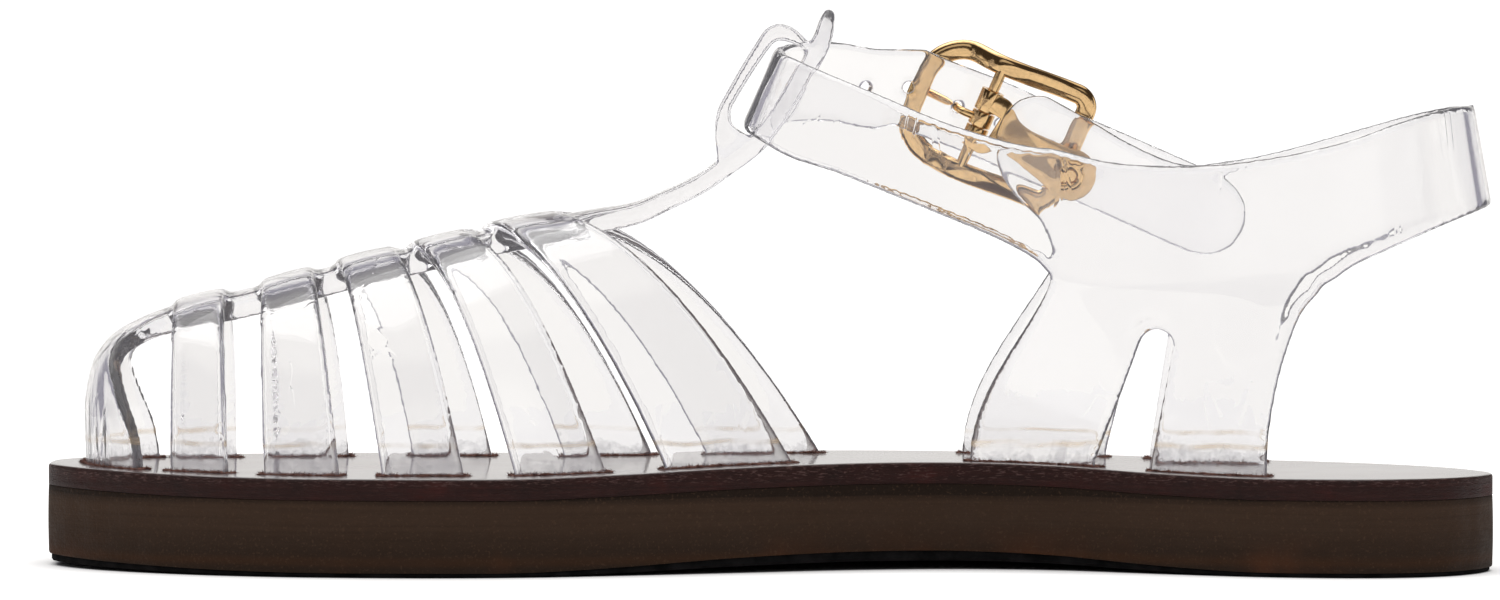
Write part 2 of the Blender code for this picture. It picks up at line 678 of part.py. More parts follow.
def notch_cutter(notch, home):
    """Arched prism between the struts of one side."""
    front, rear = notch.foot_front * SOLE_LENGTH, notch.foot_rear * SOLE_LENGTH
    top = Vector((notch.top_along * SOLE_LENGTH, FOOTBED_TOP + notch.top_height * ANKLE_HEIGHT))
    arc = [math.radians(a) for a in (10, 50, 90, 130, 170)]
    radius = notch.top_radius
    outline = [(top.x + radius * math.cos(a), top.y + radius * math.sin(a)) for a in arc]
    sole_top = FOOTBED_TOP + WAIST_RISE
    outline += [(front, sole_top), (front, 0.0), (rear, 0.0), (rear, sole_top)]
    depth = BALL_WIDTH
    centre = Vector((0, notch.side * depth / 2 + middle_line(0.06 * SOLE_LENGTH), 0))
    frame = frame_at(centre, Vector((1, 0, 0)), Vector((0, 0, 1)), Vector((0, -1, 0)))
    return flat_plate("notch", [outline], depth, frame, home)


def strap_holes(columns, home):
    """Pins that cut the strap's holes, at equal steps along its middle."""
    bar = min(range(len(columns)), key=lambda i: abs(columns[i][1].x - BUCKLE_ALONG))
    lengths = [0.0]
    for here, after in zip(columns, columns[1:]):
        lengths.append(lengths[-1] + (after[1] - here[1]).length)
    holes = []
    for k in range(-HOLES_AFTER, HOLES_BEFORE + 1):
        at = lengths[bar] - HOLE_FIRST + k * HOLE_PITCH
        i = max(j for j in range(len(lengths) - 1) if lengths[j] <= at)
        share = (at - lengths[i]) / (lengths[i + 1] - lengths[i])
        centre = columns[i][1].lerp(columns[i + 1][1], share)
        along = (columns[i + 1][1] - columns[i][1]).normalized()
        up = (columns[i][2] - columns[i][0]).normalized()
        out = along.cross(up).normalized()
        frame = frame_at(centre, along, out.cross(along), out)
        holes.append(pin("hole", STRAP_HOLE, 3 * WALL_THICKNESS, frame, home))
    return holes


def build_quarter(home):
    """Ankle strap, heel strap, side panels with struts and the tab, in one piece."""
    buckled = buckled_columns()
    loop = loop_columns()
    far_end = buckled[-1][1]
    far = wall_columns(FAR_STRAP_SECTIONS[::-1], far_end, loop[0][1])
    heel = Vector((MEDIAL_SECTIONS[-1].along * SOLE_LENGTH, MEDIAL_SECTIONS[-1].across * ANKLE_WIDTH, 0))
    lateral = LATERAL_SECTIONS[::-1]
    last = Vector((lateral[0].along * SOLE_LENGTH, lateral[0].across * ANKLE_WIDTH, 0))
    tab = Vector((0, lateral[-1].across * ANKLE_WIDTH, 0))
    medial = wall_columns(MEDIAL_SECTIONS, loop[-1][1], last)
    outer = wall_columns(lateral, heel, tab, WALL_LEVEL)
    columns = buckled + far + loop + medial + outer
    shell = bmesh.new()
    grid = [[shell.verts.new(p) for p in column] for column in columns]
    for near, after in zip(grid, grid[1:]):
        for i in range(2):
            shell.faces.new((near[i], after[i], after[i + 1], near[i + 1]))
    first_medial = len(buckled + far + loop)
    for panel, side in ((MEDIAL_PANEL, MEDIAL), (LATERAL_PANEL, LATERAL)):
        if side == MEDIAL:
            source, numbers = medial, [first_medial + p.section for p in panel]
        else:
            source = outer[::-1]
            numbers = [len(columns) - 1 - p.section for p in panel]
        above = [grid[n][0] for n in numbers]
        pairs = zip(numbers, numbers[1:])
        between = [grid[min(a, b) + 1][0] if abs(a - b) == 2 else None for a, b in pairs]
        for row_number, points in enumerate(panel_rows(source, panel, side)):
            row = [shell.verts.new(p) for p in points]
            for i in range(len(row) - 1):
                corners = [above[i], above[i + 1], row[i + 1], row[i]]
                if row_number == 0 and between[i]:
                    corners.insert(1, between[i])
                shell.faces.new(corners if side == LATERAL else corners[::-1])
            above = row
    bmesh.ops.recalc_face_normals(shell, faces=shell.faces)
    faces_outward(shell, Vector((0.28 * SOLE_LENGTH, middle_line(0.06 * SOLE_LENGTH), FOOTBED_TOP)))
    quarter = shell_object("quarter", shell, home)
    add_solidify(quarter, WALL_THICKNESS)
    quarter = bake(quarter)
    for notch in NOTCHES:
        quarter = combine(quarter, notch_cutter(notch, home), "DIFFERENCE")
    for hole in strap_holes(buckled + far + loop, home):
        quarter = combine(quarter, hole, "DIFFERENCE")
    in_tab = rivet_frame() @ Matrix.Translation((0, 0, -HINGE_THICKNESS - WALL_THICKNESS / 2))
    rivet_hole = pin("rivet_hole", RIVET_RADIUS + FIT_GAP, 1.5 * WALL_THICKNESS, in_tab, home)
    return combine(quarter, rivet_hole, "DIFFERENCE")


def bow_level(distance):
    """Height of the buckle frame over the wall: low at the centre bar, high at both ends."""
    straight = D_REACH - 0.7 * D_CORNER if distance < 0 else KEEPER_REACH - KEEPER_CORNER
    return BAR_LEVEL + FRAME_BOW * (1 - math.cos(math.pi * min(abs(distance) / straight, 1.0))) / 2


def frame_path():
    """Centre line of the buckle frame in the buckle's own plane."""
    half = FRAME_HALF_WIDTH
    corners = [
        (-D_REACH, half, D_CORNER, 90), (-D_REACH, -half, D_CORNER, 180),
        (KEEPER_REACH, -half, KEEPER_CORNER, 270), (KEEPER_REACH, half, KEEPER_CORNER, 0),
    ]
    path = []
    for x, y, radius, start in corners:
        centre = (x - math.copysign(radius, x), y - math.copysign(radius, y))
        for k in range(5):
            a = math.radians(start + 22.5 * k)
            path.append((centre[0] + radius * math.cos(a), centre[1] + radius * math.sin(a)))
        rail = [-0.22 * D_REACH, 0.0] + [KEEPER_REACH * s for s in (0.16, 0.34, 0.52, 0.7)]
        if start == 180:
            path += [(s, -half) for s in rail]
        elif start == 0:
            path += [(s, half) for s in reversed(rail)]
    return path


def build_buckle_frame(home):
    frame = buckle_frame_axes()
    points = [frame @ Vector((x, y, bow_level(x))) for x, y in frame_path()]
    ring = rod("buckle_frame", points, FRAME_BAR, home, closed=True)
    half = FRAME_HALF_WIDTH
    ends = [frame @ Vector((0, y, BAR_LEVEL)) for y in (-half, half)]
    return combine(ring, rod("centre_bar", ends, CENTRE_BAR, home), "UNION")


def roll_frame(y):
    """Frame of a roll round the centre bar: Z along the bar."""
    base = buckle_frame_axes()
    local = Matrix(((0, 1, 0, 0), (0, 0, 1, y), (1, 0, 0, BAR_LEVEL), (0, 0, 0, 1)))
    return base @ local


def roll(name, y, length, home):
    outlines = [circle(HINGE_ROLL), circle(CENTRE_BAR + FIT_GAP)]
    return flat_plate(name, outlines, length, roll_frame(y), home)


def build_buckle_prong(home):
    frame = buckle_frame_axes()
    hole = HOLE_FIRST
    start = BAR_LEVEL - CENTRE_BAR * 0.4
    top = strap_level(hole) + FIT_GAP + PRONG_RADIUS
    rest = FRAME_LEVEL + FRAME_BAR + FIT_GAP + PRONG_RADIUS
    route = [(-(CENTRE_BAR + FIT_GAP + HINGE_THICKNESS / 2), start)]
    route += [(along * hole, start + rise * (top - start)) for along, rise in PRONG_RISE]
    route += [(-PRONG_LANDING * D_REACH, rest), (-D_REACH - FRAME_BAR, rest)]
    points = [frame @ Vector((x, 0, z)) for x, z in route]
    arm = rod("buckle_prong", points, PRONG_RADIUS, home)
    return combine(arm, roll("prong_roll", 0.0, PRONG_ROLL, home), "UNION")


def hinge_frame():
    """Frame of the hinge plate: X from the centre bar to the rivet, Z outward."""
    turn = Matrix.Rotation(HINGE_TURN, 4, "Z")
    lift = Matrix.Translation((0, 0, FIT_GAP + HINGE_THICKNESS / 2))
    return buckle_frame_axes() @ lift @ turn


def rivet_frame():
    return hinge_frame() @ Matrix.Translation((HINGE_LENGTH, 0, 0))


def build_buckle_hinge(home):
    """Hourglass plate with a roll round the bar on each side of the prong."""
    slot = PRONG_ROLL / 2 + FIT_GAP
    side = [(x * HINGE_LENGTH, y * HINGE_WAIST / 2) for x, y in HINGE_OUTLINE]
    arc = [math.radians(a) for a in (120, 90, 60, 30, 0, -30, -60, -90, -120)]
    round_end = [(HINGE_LENGTH + HINGE_END * math.cos(a), HINGE_END * math.sin(a)) for a in arc]
    back = [(x, -y) for x, y in side[::-1]]
    deep = HINGE_ROLL + 2 * FIT_GAP
    slot_in_plate = slot + deep * math.tan(HINGE_TURN)
    notch = [(0.0, -slot_in_plate), (deep, -slot_in_plate), (deep, slot_in_plate), (0.0, slot_in_plate)]
    hole = circle(RIVET_RADIUS + FIT_GAP, 16, (HINGE_LENGTH, 0))
    outlines = [side + round_end + back + notch, hole]
    plate = flat_plate("buckle_hinge", outlines, HINGE_THICKNESS, hinge_frame(), home)
    length = side[0][1] - slot
    for sign in (-1, 1):
        knuckle = roll("knuckle", sign * (slot + length / 2), length, home)
        plate = combine(plate, knuckle, "UNION")
    return plate


def build_rivet(home):
    """Shank through plate and tab with a head on each side."""
    frame = rivet_frame()
    outer = HINGE_THICKNESS / 2 + FIT_GAP
    inner = -(HINGE_THICKNESS / 2 + FIT_GAP + WALL_THICKNESS + FIT_GAP)
    length = outer - inner + RIVET_HEAD_HEIGHT
    shank_frame = frame @ Matrix.Translation((0, 0, (outer + inner) / 2))
    rivet = pin("rivet", RIVET_RADIUS, length, shank_frame, home)
    for level, sign in ((outer, 1), (inner, -1)):
        head_frame = frame @ Matrix.Translation((0, 0, level + sign * RIVET_HEAD_HEIGHT / 2))
        head = pin("head", RIVET_HEAD, RIVET_HEAD_HEIGHT, head_frame, home)
        rivet = combine(rivet, head, "UNION")
    return rivet


def slit_cutter(points, inside, thickness, cutters, room=(FIT_GAP, FIT_GAP)):
    """Cutter for one slit: the plan line of a strap's outer face, with room all round."""
    first, last = points[0], points[-1]
    start = (points[1] - first).normalized()
    end = (points[-2] - last).normalized()
    line = [first - start * room[0]] + points[1:-1] + [last - end * room[1]]
    shifted = []
    for i, p in enumerate(line):
        tangent = line[min(i + 1, len(line) - 1)] - line[max(i - 1, 0)]
        normal = Vector((-tangent.y, tangent.x, 0)).normalized()
        if normal.dot(inside - p) > 0:
            normal = -normal
        shifted.append(p + normal * FIT_GAP)
    low, high = 0.5 * (MIDSOLE_BOTTOM + FOOTBED_BOTTOM), FOOTBED_TOP + 2 * WAIST_RISE
    rows = [[Vector((p.x, p.y, z)) for p in shifted] for z in (low, high)]
    cutter = sheet("slit", rows, thickness + 2 * FIT_GAP, inside, cutters)
    cutter.hide_render = True
    cutter.display_type = "WIRE"
    return cutter


def cut_slits(cutters):
    """A slit for the toe wrap, each cross strap's foot and each strut."""
    rows, shares = spine_rows()
    centre = Vector((-0.3 * SOLE_LENGTH, 0, FOOTBED_TOP))
    slit_cutter([p.copy() for p in rows[0]], centre, SPINE_THICKNESS * shares[0], cutters)
    for strap in CROSS_STRAPS:
        for side in (MEDIAL, LATERAL):
            points = [strap_foot(strap, side, e) for e in (0.0, 0.5, 1.0)]
            inside = Vector((points[1].x, 0, points[1].z))
            slit_cutter(points, inside, LEG_THICKNESS, cutters)
    for panel, notch in ((MEDIAL_PANEL, NOTCHES[0]), (LATERAL_PANEL, NOTCHES[1])):
        feet = [item.foot for item in panel]
        at_notch = FIT_GAP + WALL_THICKNESS / 2
        front = (feet[0], notch.foot_front, (FIT_GAP, at_notch))
        rear = (notch.foot_rear, feet[-1], (at_notch, FIT_GAP))
        for start, end, room in (front, rear):
            stops = [start] + [f for f in feet if start < f < end] + [end]
            points = [strut_foot(panel, notch.side, stop) for stop in stops]
            inside = Vector((points[0].x, middle_line(0.0), points[0].z))
            slit_cutter(points, inside, WALL_THICKNESS, cutters, room)


def strut_foot(panel, side, along):
    """Plan position of a strut's outer face on the straight runs between panel columns."""
    places = [item.foot * SOLE_LENGTH for item in panel]
    feet = [Vector((place_x, foot_line(place_x, side, STRUT_INSET), 0)) for place_x in places]
    x = along * SOLE_LENGTH
    i = max(j for j in range(len(feet) - 1) if feet[j].x <= x + FIT_GAP / 100)
    share = (x - feet[i].x) / (feet[i + 1].x - feet[i].x)
    return feet[i].lerp(feet[i + 1], share)


def build_footbed(home, cutters):
    footbed = sole_layer("footbed", FOOTBED_BOTTOM, FOOTBED_THICKNESS, 0.0, home)
    rim = footbed.modifiers.new("rounded_edge", "BEVEL")
    rim.width = FOOTBED_EDGE_ROUND
    rim.segments = 1
    rim.limit_method = "ANGLE"
    rim.angle_limit = math.radians(50)
    slits = footbed.modifiers.new("slits", "BOOLEAN")
    slits.operand_type = "COLLECTION"
    slits.collection = cutters
    slits.solver = "EXACT"
    return footbed


def finish_surface(obj, finish_name, sharp_angle):
    finish = FINISHES[finish_name]
    material = bpy.data.materials.get(finish_name) or bpy.data.materials.new(finish_name)
    material.use_nodes = True
    shader = material.node_tree.nodes["Principled BSDF"]
    shader.inputs["Base Color"].default_value = (*finish.colour, 1.0)
    shader.inputs["Roughness"].default_value = finish.roughness
    shader.inputs["Metallic"].default_value = finish.metallic
    obj.data.materials.clear()
    obj.data.materials.append(material)
    obj.data.shade_smooth()
    obj.data.set_sharp_from_angle(angle=math.radians(sharp_angle))


def main():
    for obj in list(bpy.data.objects):
        bpy.data.objects.remove(obj)
    home = bpy.data.collections.new("jelly_sandal")
    cutters = bpy.data.collections.new("cutters")
    for collection in (home, cutters):
        bpy.context.scene.collection.children.link(collection)
    cut_slits(cutters)
    outsole = sole_layer("outsole", 0.0, OUTSOLE_THICKNESS, OUTSOLE_INSET, home)
    midsole = sole_layer("midsole", MIDSOLE_BOTTOM, MIDSOLE_THICKNESS, 0.0, home)
    finish_surface(outsole, "black_rubber", 40)
    finish_surface(midsole, "brown_midsole", 40)
    finish_surface(build_footbed(home, cutters), "brown_leather", 40)
    finish_surface(build_vamp(home), "clear_pvc", 40)
    finish_surface(build_quarter(home), "clear_pvc", 40)
    for build in (build_buckle_frame, build_buckle_prong, build_buckle_hinge, build_rivet):
        finish_surface(build(home), "gold_metal", 50)


main()
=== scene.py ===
"""Clear moulded fisherman sandal, right shoe, on a flat brown sole."""
import math
from collections import namedtuple

import bmesh
import bpy
import numpy as np
from mathutils import Matrix, Vector


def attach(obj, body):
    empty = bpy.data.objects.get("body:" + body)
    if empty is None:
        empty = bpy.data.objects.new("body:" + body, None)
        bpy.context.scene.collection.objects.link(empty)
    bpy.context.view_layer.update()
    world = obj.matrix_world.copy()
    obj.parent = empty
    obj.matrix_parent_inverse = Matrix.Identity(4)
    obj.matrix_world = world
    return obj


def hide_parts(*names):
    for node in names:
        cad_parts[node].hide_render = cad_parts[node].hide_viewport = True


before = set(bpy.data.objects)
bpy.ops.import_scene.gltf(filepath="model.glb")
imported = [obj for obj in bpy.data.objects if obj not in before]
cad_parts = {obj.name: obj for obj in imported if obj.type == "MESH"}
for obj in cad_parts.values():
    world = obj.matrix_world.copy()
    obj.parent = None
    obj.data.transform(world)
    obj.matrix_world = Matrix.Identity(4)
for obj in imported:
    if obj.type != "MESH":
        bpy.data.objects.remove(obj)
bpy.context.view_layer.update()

bl_info = {
    "name": "Clear Fisherman Sandal",
    "version": (1, 0, 0),
    "blender": (4, 5, 0),
    "location": "View3D > Sidebar > Sandal",
    "description": "Builds a clear moulded fisherman sandal on a brown leather and rubber sole",
    "category": "Add Mesh",
}

# Toe at -X, heel at +X, inner (medial) side at -Y, outer side at +Y, floor at z = 0, metres.
# Tables hold shares of the named sizes.
MEDIAL = -1
LATERAL = 1
FIT_GAP = 0.0003

# Sole
SOLE_LENGTH = 0.254
BALL_WIDTH = 0.094
OUTSOLE_THICKNESS = 0.0010
MIDSOLE_THICKNESS = 0.0117
FOOTBED_THICKNESS = 0.0037
OUTSOLE_INSET = 0.0005
WAIST_RISE = 0.0017
# Extra rise of the outsole's top where the sole lifts: it thickens the black sheet at the waist and toe as painted
# shade under the arch, and the midsole's bottom follows it
WAIST_SHADE_WEDGE = 1.45
SHOWN_OUTSOLE = 0.0007
MIDSOLE_BOTTOM = OUTSOLE_THICKNESS + FIT_GAP
FOOTBED_BOTTOM = MIDSOLE_BOTTOM + MIDSOLE_THICKNESS + FIT_GAP
FOOTBED_TOP = FOOTBED_BOTTOM + FOOTBED_THICKNESS

# Cage over the forefoot
INSTEP_HEIGHT = 0.048
SPINE_WIDTH = 0.015
SPINE_THICKNESS = 0.0042
LEG_THICKNESS = 0.0026
LEG_STEP = 0.0010
LEG_INSET = 0.0120
LEG_SWEEP = 0.6
LAST_FULLNESS = 2.2

# Heel piece and ankle strap
ANKLE_HEIGHT = 0.0645
ANKLE_WIDTH = 0.054
WALL_THICKNESS = 0.0021
STRAP_WIDTH = 0.015
STRUT_INSET = 0.0075
PANEL_STEPS = (0.14, 0.3, 0.48, 0.66, 0.84, 1.0)

# Keeper loop on the tongue
LOOP_ALONG = 0.0
LOOP_HEIGHT = 1.39583 * INSTEP_HEIGHT
LOOP_TILT = math.radians(24)
KEEPER_WIDTH = 0.0124
STRAP_SET_FORWARD = 0.0003

# Buckle on the outer side
BUCKLE_ALONG = 0.15276 * SOLE_LENGTH
BUCKLE_HEIGHT = 0.94884 * ANKLE_HEIGHT
BUCKLE_SLOPE = math.radians(23)
LATERAL_LEAN = math.radians(8)
WALL_LEVEL = 0.82171 * ANKLE_HEIGHT
FRAME_BAR = 0.0015
CENTRE_BAR = 0.0010
FRAME_SIDE_ROOM = 0.0014
D_REACH = 0.0122
KEEPER_REACH = 0.0172
D_CORNER = 0.0075
KEEPER_CORNER = 0.0026
FRAME_BOW = 0.0040
HINGE_THICKNESS = 0.0008
HINGE_LENGTH = 0.0188
HINGE_WAIST = 0.0062
HINGE_END = 0.0048
HINGE_TURN = math.radians(9)
PRONG_RADIUS = 0.0007
PRONG_ROLL = 0.0026
RIVET_RADIUS = 0.0015
RIVET_HEAD = 0.0025
RIVET_HEAD_HEIGHT = 0.0005
RIVET_BORE = 0.00115
RIVET_BORE_DEPTH = 0.0016
STRAP_HOLE = 0.00115
HOLE_PITCH = 0.0094
HOLE_FIRST = -0.0052
HOLES_BEFORE = 2
HOLES_AFTER = 3
STRAP_END = 0.0516
HINGE_ROLL = CENTRE_BAR + FIT_GAP + HINGE_THICKNESS
BAR_LEVEL = FIT_GAP + HINGE_ROLL
FRAME_LEVEL = BAR_LEVEL + FRAME_BOW
STRAP_OVER_BAR = BAR_LEVEL + HINGE_ROLL + FIT_GAP + WALL_THICKNESS
STRAP_UNDER_FRAME = FRAME_LEVEL - FRAME_BAR - FIT_GAP
FREE_END_LIFT = WALL_THICKNESS + 0.0022
FRAME_HALF_WIDTH = STRAP_WIDTH / 2 + FRAME_SIDE_ROOM + FRAME_BAR
BAR_HALF_WIDTH = 0.0018
BAR_HALF_DEPTH = 0.00108
BAR_SQUARENESS = 2.8

# Rounded rims and how finely the pieces are drawn
STRAP_RIM = 0.0005
SPINE_RIM = 0.0008
KEEPER_RIM = 0.0007
WALL_RIM = 0.0004
HINGE_RIM = 0.00018
ROLL_RIM = 0.00015
STRAP_CROWN = 0.00025
SOLE_STEPS = 8
LEG_TURNS = 30
LEG_EDGES = 8
LIP_STEP = 0.00022
MOST_TRIANGLES = 190000

# The sole's outline runs toe to heel along the inner side and back, so point i faces point -i - shift
LADDER_SHIFT = -SOLE_STEPS

# Marks in the plastic over the footbed, and the share of light that their films scatter
GLUE_LINE_HEIGHT = 0.0052
GLUE_CLOUD_HEIGHT = 0.0030
GLUE_FILM = 0.32

# Stage
FLOOR_RADIUS = 0.62
CAMERA_PLACE = (-0.0029, -1.5, 0.095)
CAMERA_AIM = (-0.0029, 0.0, 0.0465)
CAMERA_LENS = 202.5
ROOM_LIT = (1.02, 1.0, 0.975, 1.0)
ROOM_DARK = (0.27, 0.26, 0.315, 1.0)
ROOM_DARK_ON_METAL = (0.05, 0.042, 0.036, 1.0)
ROOM_SHOWN = (1.1, 1.1, 1.1, 1.0)

SoleSection = namedtuple("SoleSection", "along medial lateral medial_rise lateral_rise")
SOLE_SECTIONS = [SoleSection(*row) for row in [
    (-0.5000, -0.090, 0.032, 0.53, 0.53),
    (-0.4930, -0.142, 0.098, 0.50, 0.50),
    (-0.4780, -0.208, 0.174, 0.44, 0.44),
    (-0.4570, -0.272, 0.258, 0.35, 0.35),
    (-0.4210, -0.350, 0.352, 0.22, 0.22),
    (-0.3740, -0.420, 0.432, 0.08, 0.08),
    (-0.3150, -0.471, 0.485, 0.00, 0.00),
    (-0.2360, -0.496, 0.504, 0.00, 0.00),
    (-0.1650, -0.480, 0.500, 0.00, 0.00),
    (-0.0980, -0.426, 0.470, 0.29, 0.12),
    (-0.0200, -0.349, 0.436, 0.76, 0.35),
    (0.0590, -0.268, 0.397, 1.00, 0.53),
    (0.1300, -0.236, 0.368, 1.00, 0.53),
    (0.1970, -0.270, 0.339, 0.76, 0.41),
    (0.2640, -0.368, 0.306, 0.29, 0.18),
    (0.3270, -0.452, 0.254, 0.00, 0.00),
    (0.3860, -0.492, 0.171, 0.00, 0.00),
    (0.4290, -0.486, 0.086, 0.00, 0.00),
    (0.4630, -0.444, -0.010, 0.00, 0.00),
    (0.4840, -0.380, -0.100, 0.00, 0.00),
    (0.4960, -0.314, -0.185, 0.00, 0.00),
    (0.5000, -0.275, -0.224, 0.00, 0.00),
]]

# Middle line of the last and the height of the spine over the footbed
RidgeSection = namedtuple("RidgeSection", "along middle height")
RIDGE_SECTIONS = [RidgeSection(*row) for row in [
    (-0.5000, 0.000, 0.380),
    (-0.4480, 0.010, 0.545),
    (-0.4100, 0.014, 0.602),
    (-0.3540, 0.014, 0.669),
    (-0.2990, 0.011, 0.748),
    (-0.2480, 0.006, 0.812),
    (-0.1890, 0.000, 0.887),
    (-0.1500, -0.006, 0.925),
    (-0.0870, -0.018, 0.965),
    (0.0000, -0.032, 1.000),
    (0.0600, -0.042, 1.010),
]]

# Toe wrap from the footbed up to the spine, then the tongue past the last strap
SpineSection = namedtuple("SpineSection", "along height half bow thickness")
TOE_SECTIONS = [SpineSection(*row) for row in [
    (-0.4768, 0.000, 1.480, 0.310, 0.60),
    (-0.4772, 0.120, 1.440, 0.310, 0.60),
    (-0.4772, 0.250, 1.320, 0.310, 0.62),
    (-0.4712, 0.396, 1.020, 0.310, 0.66),
    (-0.4614, 0.473, 0.800, 0.310, 0.70),
    (-0.4504, 0.517, 0.650, 0.310, 0.76),
    (-0.4290, 0.571, 0.540, 0.300, 0.86),
]]
SPINE_RUN = (-0.405, -0.379, -0.354, -0.327, -0.299, -0.275, -0.250, -0.222, -0.195, -0.170, -0.148)
RUN_SECTION = SpineSection(0.0, 0.0, 0.500, 0.290, 1.00)
TONGUE_SECTIONS = [SpineSection(*row) for row in [
    (-0.1220, 0.953, 0.480, 0.350, 0.92),
    (-0.0945, 0.976, 0.460, 0.450, 0.86),
    (-0.0728, 1.020, 0.450, 0.700, 0.80),
    (-0.0496, 1.078, 0.450, 0.900, 0.79),
    (-0.0342, 1.133, 0.450, 1.200, 0.79),
    (-0.0108, 1.227, 0.450, 1.200, 0.79),
    (0.0068, 1.342, 0.450, 1.200, 0.79),
    (0.0217, 1.480, 0.450, 1.200, 0.79),
    (0.0315, 1.578, 0.430, 1.200, 0.79),
    (0.0362, 1.645, 0.330, 1.200, 0.72),
    (0.0420, 1.700, 0.130, 1.200, 0.45),
]]

# Cross straps: front and rear edge on the spine and at each foot
CrossStrap = namedtuple("CrossStrap", "name top medial lateral")
CROSS_STRAPS = [CrossStrap(*row) for row in [
    ("first", (-0.4150, -0.3790), (-0.4130, -0.3725), (-0.4210, -0.3800)),
    ("second", (-0.3543, -0.3185), (-0.3465, -0.2930), (-0.3520, -0.2990)),
    ("third", (-0.3024, -0.2626), (-0.2642, -0.2063), (-0.2540, -0.1957)),
    ("fourth", (-0.2512, -0.2142), (-0.1720, -0.1087), (-0.1440, -0.0800)),
    ("fifth", (-0.1996, -0.1512), (-0.0681, 0.0197), (-0.0430, 0.0400)),
]]

# Inner side from the middle of the keeper loop to the back of the heel
WallSection = namedtuple("WallSection", "along across middle spread lean")
MEDIAL_SECTIONS = [WallSection(*row) for row in [
    (-0.0050, -0.195, 1.038, 0.970, 22),
    (0.0020, -0.256, 1.022, 1.030, 20),
    (0.0197, -0.326, 0.987, 1.110, 16),
    (0.0472, -0.393, 0.947, 1.085, 13),
    (0.0787, -0.448, 0.897, 1.090, 11),
    (0.1181, -0.500, 0.833, 1.085, 10),
    (0.1614, -0.544, 0.770, 1.170, 9),
    (0.1860, -0.566, 0.733, 1.320, 8),
    (0.1960, -0.575, 0.712, 1.480, 8),
    (0.2283, -0.607, 0.682, 1.460, 7),
    (0.2661, -0.648, 0.675, 1.407, 6),
    (0.3071, -0.700, 0.677, 1.427, 5),
    (0.3504, -0.742, 0.688, 1.527, 4),
    (0.3791, -0.758, 0.704, 1.593, 4),
    (0.3996, -0.758, 0.740, 1.460, 5),
    (0.4291, -0.733, 0.786, 1.400, 6),
    (0.4606, -0.643, 0.829, 1.320, 8),
    (0.4850, -0.505, 0.855, 1.240, 10),
    (0.4932, -0.410, 0.861, 1.200, 10),
    (0.4953, -0.311, 0.863, 1.180, 10),
]]

# Outer side from the round end of the tab to the heel
LATERAL_SECTIONS = [WallSection(*row) for row in [
    (0.1630, 0.3574, 0.880, 0.367, 8),
    (0.1677, 0.3574, 0.876, 0.760, 8),
    (0.1783, 0.3574, 0.870, 1.187, 8),
    (0.1949, 0.3574, 0.845, 1.533, 8),
    (0.2060, 0.3574, 0.790, 1.840, 8),
    (0.2283, 0.3574, 0.734, 1.913, 8),
    (0.2598, 0.3450, 0.698, 1.607, 8),
    (0.2953, 0.3200, 0.671, 1.373, 8),
    (0.3307, 0.2850, 0.677, 1.420, 7),
    (0.3560, 0.2480, 0.686, 1.500, 6),
    (0.3791, 0.2050, 0.701, 1.573, 6),
    (0.3996, 0.1600, 0.740, 1.440, 6),
    (0.4291, 0.0900, 0.783, 1.367, 7),
    (0.4606, -0.0050, 0.826, 1.293, 9),
    (0.4850, -0.1350, 0.853, 1.230, 10),
    (0.4932, -0.2200, 0.860, 1.190, 10),
]]

# Outer run of the ankle strap from the keeper loop to the buckle
FAR_STRAP_SECTIONS = [WallSection(*row) for row in [
    (-0.0050, 0.085, 1.045, 0.950, 22),
    (0.0030, 0.148, 1.053, 0.960, 20),
    (0.0210, 0.210, 1.060, 0.960, 16),
    (0.0470, 0.282, 1.060, 0.960, 12),
    (0.0740, 0.342, 1.040, 0.980, 10),
]]

# Below the wall: where each column of the side panel leaves it and meets the sole
PanelColumn = namedtuple("PanelColumn", "section foot bend")
MEDIAL_PANEL = [PanelColumn(*row) for row in [
    (8, 0.1400, 1.30),
    (9, 0.1880, 1.15),
    (10, 0.2400, 1.00),
    (11, 0.2850, 0.90),
    (12, 0.3190, 0.75),
    (13, 0.3410, 0.65),
]]
LATERAL_PANEL = [PanelColumn(*row) for row in [
    (4, 0.1400, 1.20),
    (5, 0.1900, 1.10),
    (6, 0.2400, 1.00),
    (7, 0.2780, 0.95),
    (8, 0.3110, 0.80),
    (10, 0.3520, 0.65),
]]

# Arched opening between the two struts of a side
Notch = namedtuple("Notch", "side foot_front foot_rear top_along top_height top_radius")
NOTCHES = [Notch(*row) for row in [
    (MEDIAL, 0.2270, 0.2640, 0.2672, 0.350, 0.0029),
    (LATERAL, 0.2420, 0.2720, 0.2740, 0.350, 0.0029),
]]

# Keeper loop beside the strap, across and along it, in strap widths
KEEPER_OUTLINE = [
    (-0.150, -1.000), (-0.300, -0.800), (-0.415, -0.530), (-0.425, -0.320), (-0.310, 0.610),
    (-0.240, 0.730), (-0.130, 0.785), (0.010, 0.790), (0.160, 0.740), (0.330, 0.620),
    (0.340, 0.380), (0.270, -0.120), (0.150, -0.540), (0.040, -0.880),
]
KEEPER_SLOT = [
    (-0.160, -0.560), (-0.245, -0.500), (-0.285, -0.330), (-0.150, 0.540),
    (-0.080, 0.600), (0.140, 0.620), (0.330, 0.560), (0.260, -0.120), (0.150, -0.560),
]

# Prong from under the strap up through the hole, in shares of the hole's place and of the rise
PRONG_RISE = [(0.66, 0.0), (0.82, 0.16), (0.92, 0.45), (1.0, 0.85), (1.14, 1.0)]
PRONG_LANDING = 0.85

# Half outline of the hinge plate, in shares of its length and of its waist
HINGE_OUTLINE = [(0.0, 1.77), (0.15, 1.77), (0.30, 1.15), (0.45, 1.0), (0.60, 1.1)]


# Shared shape helpers

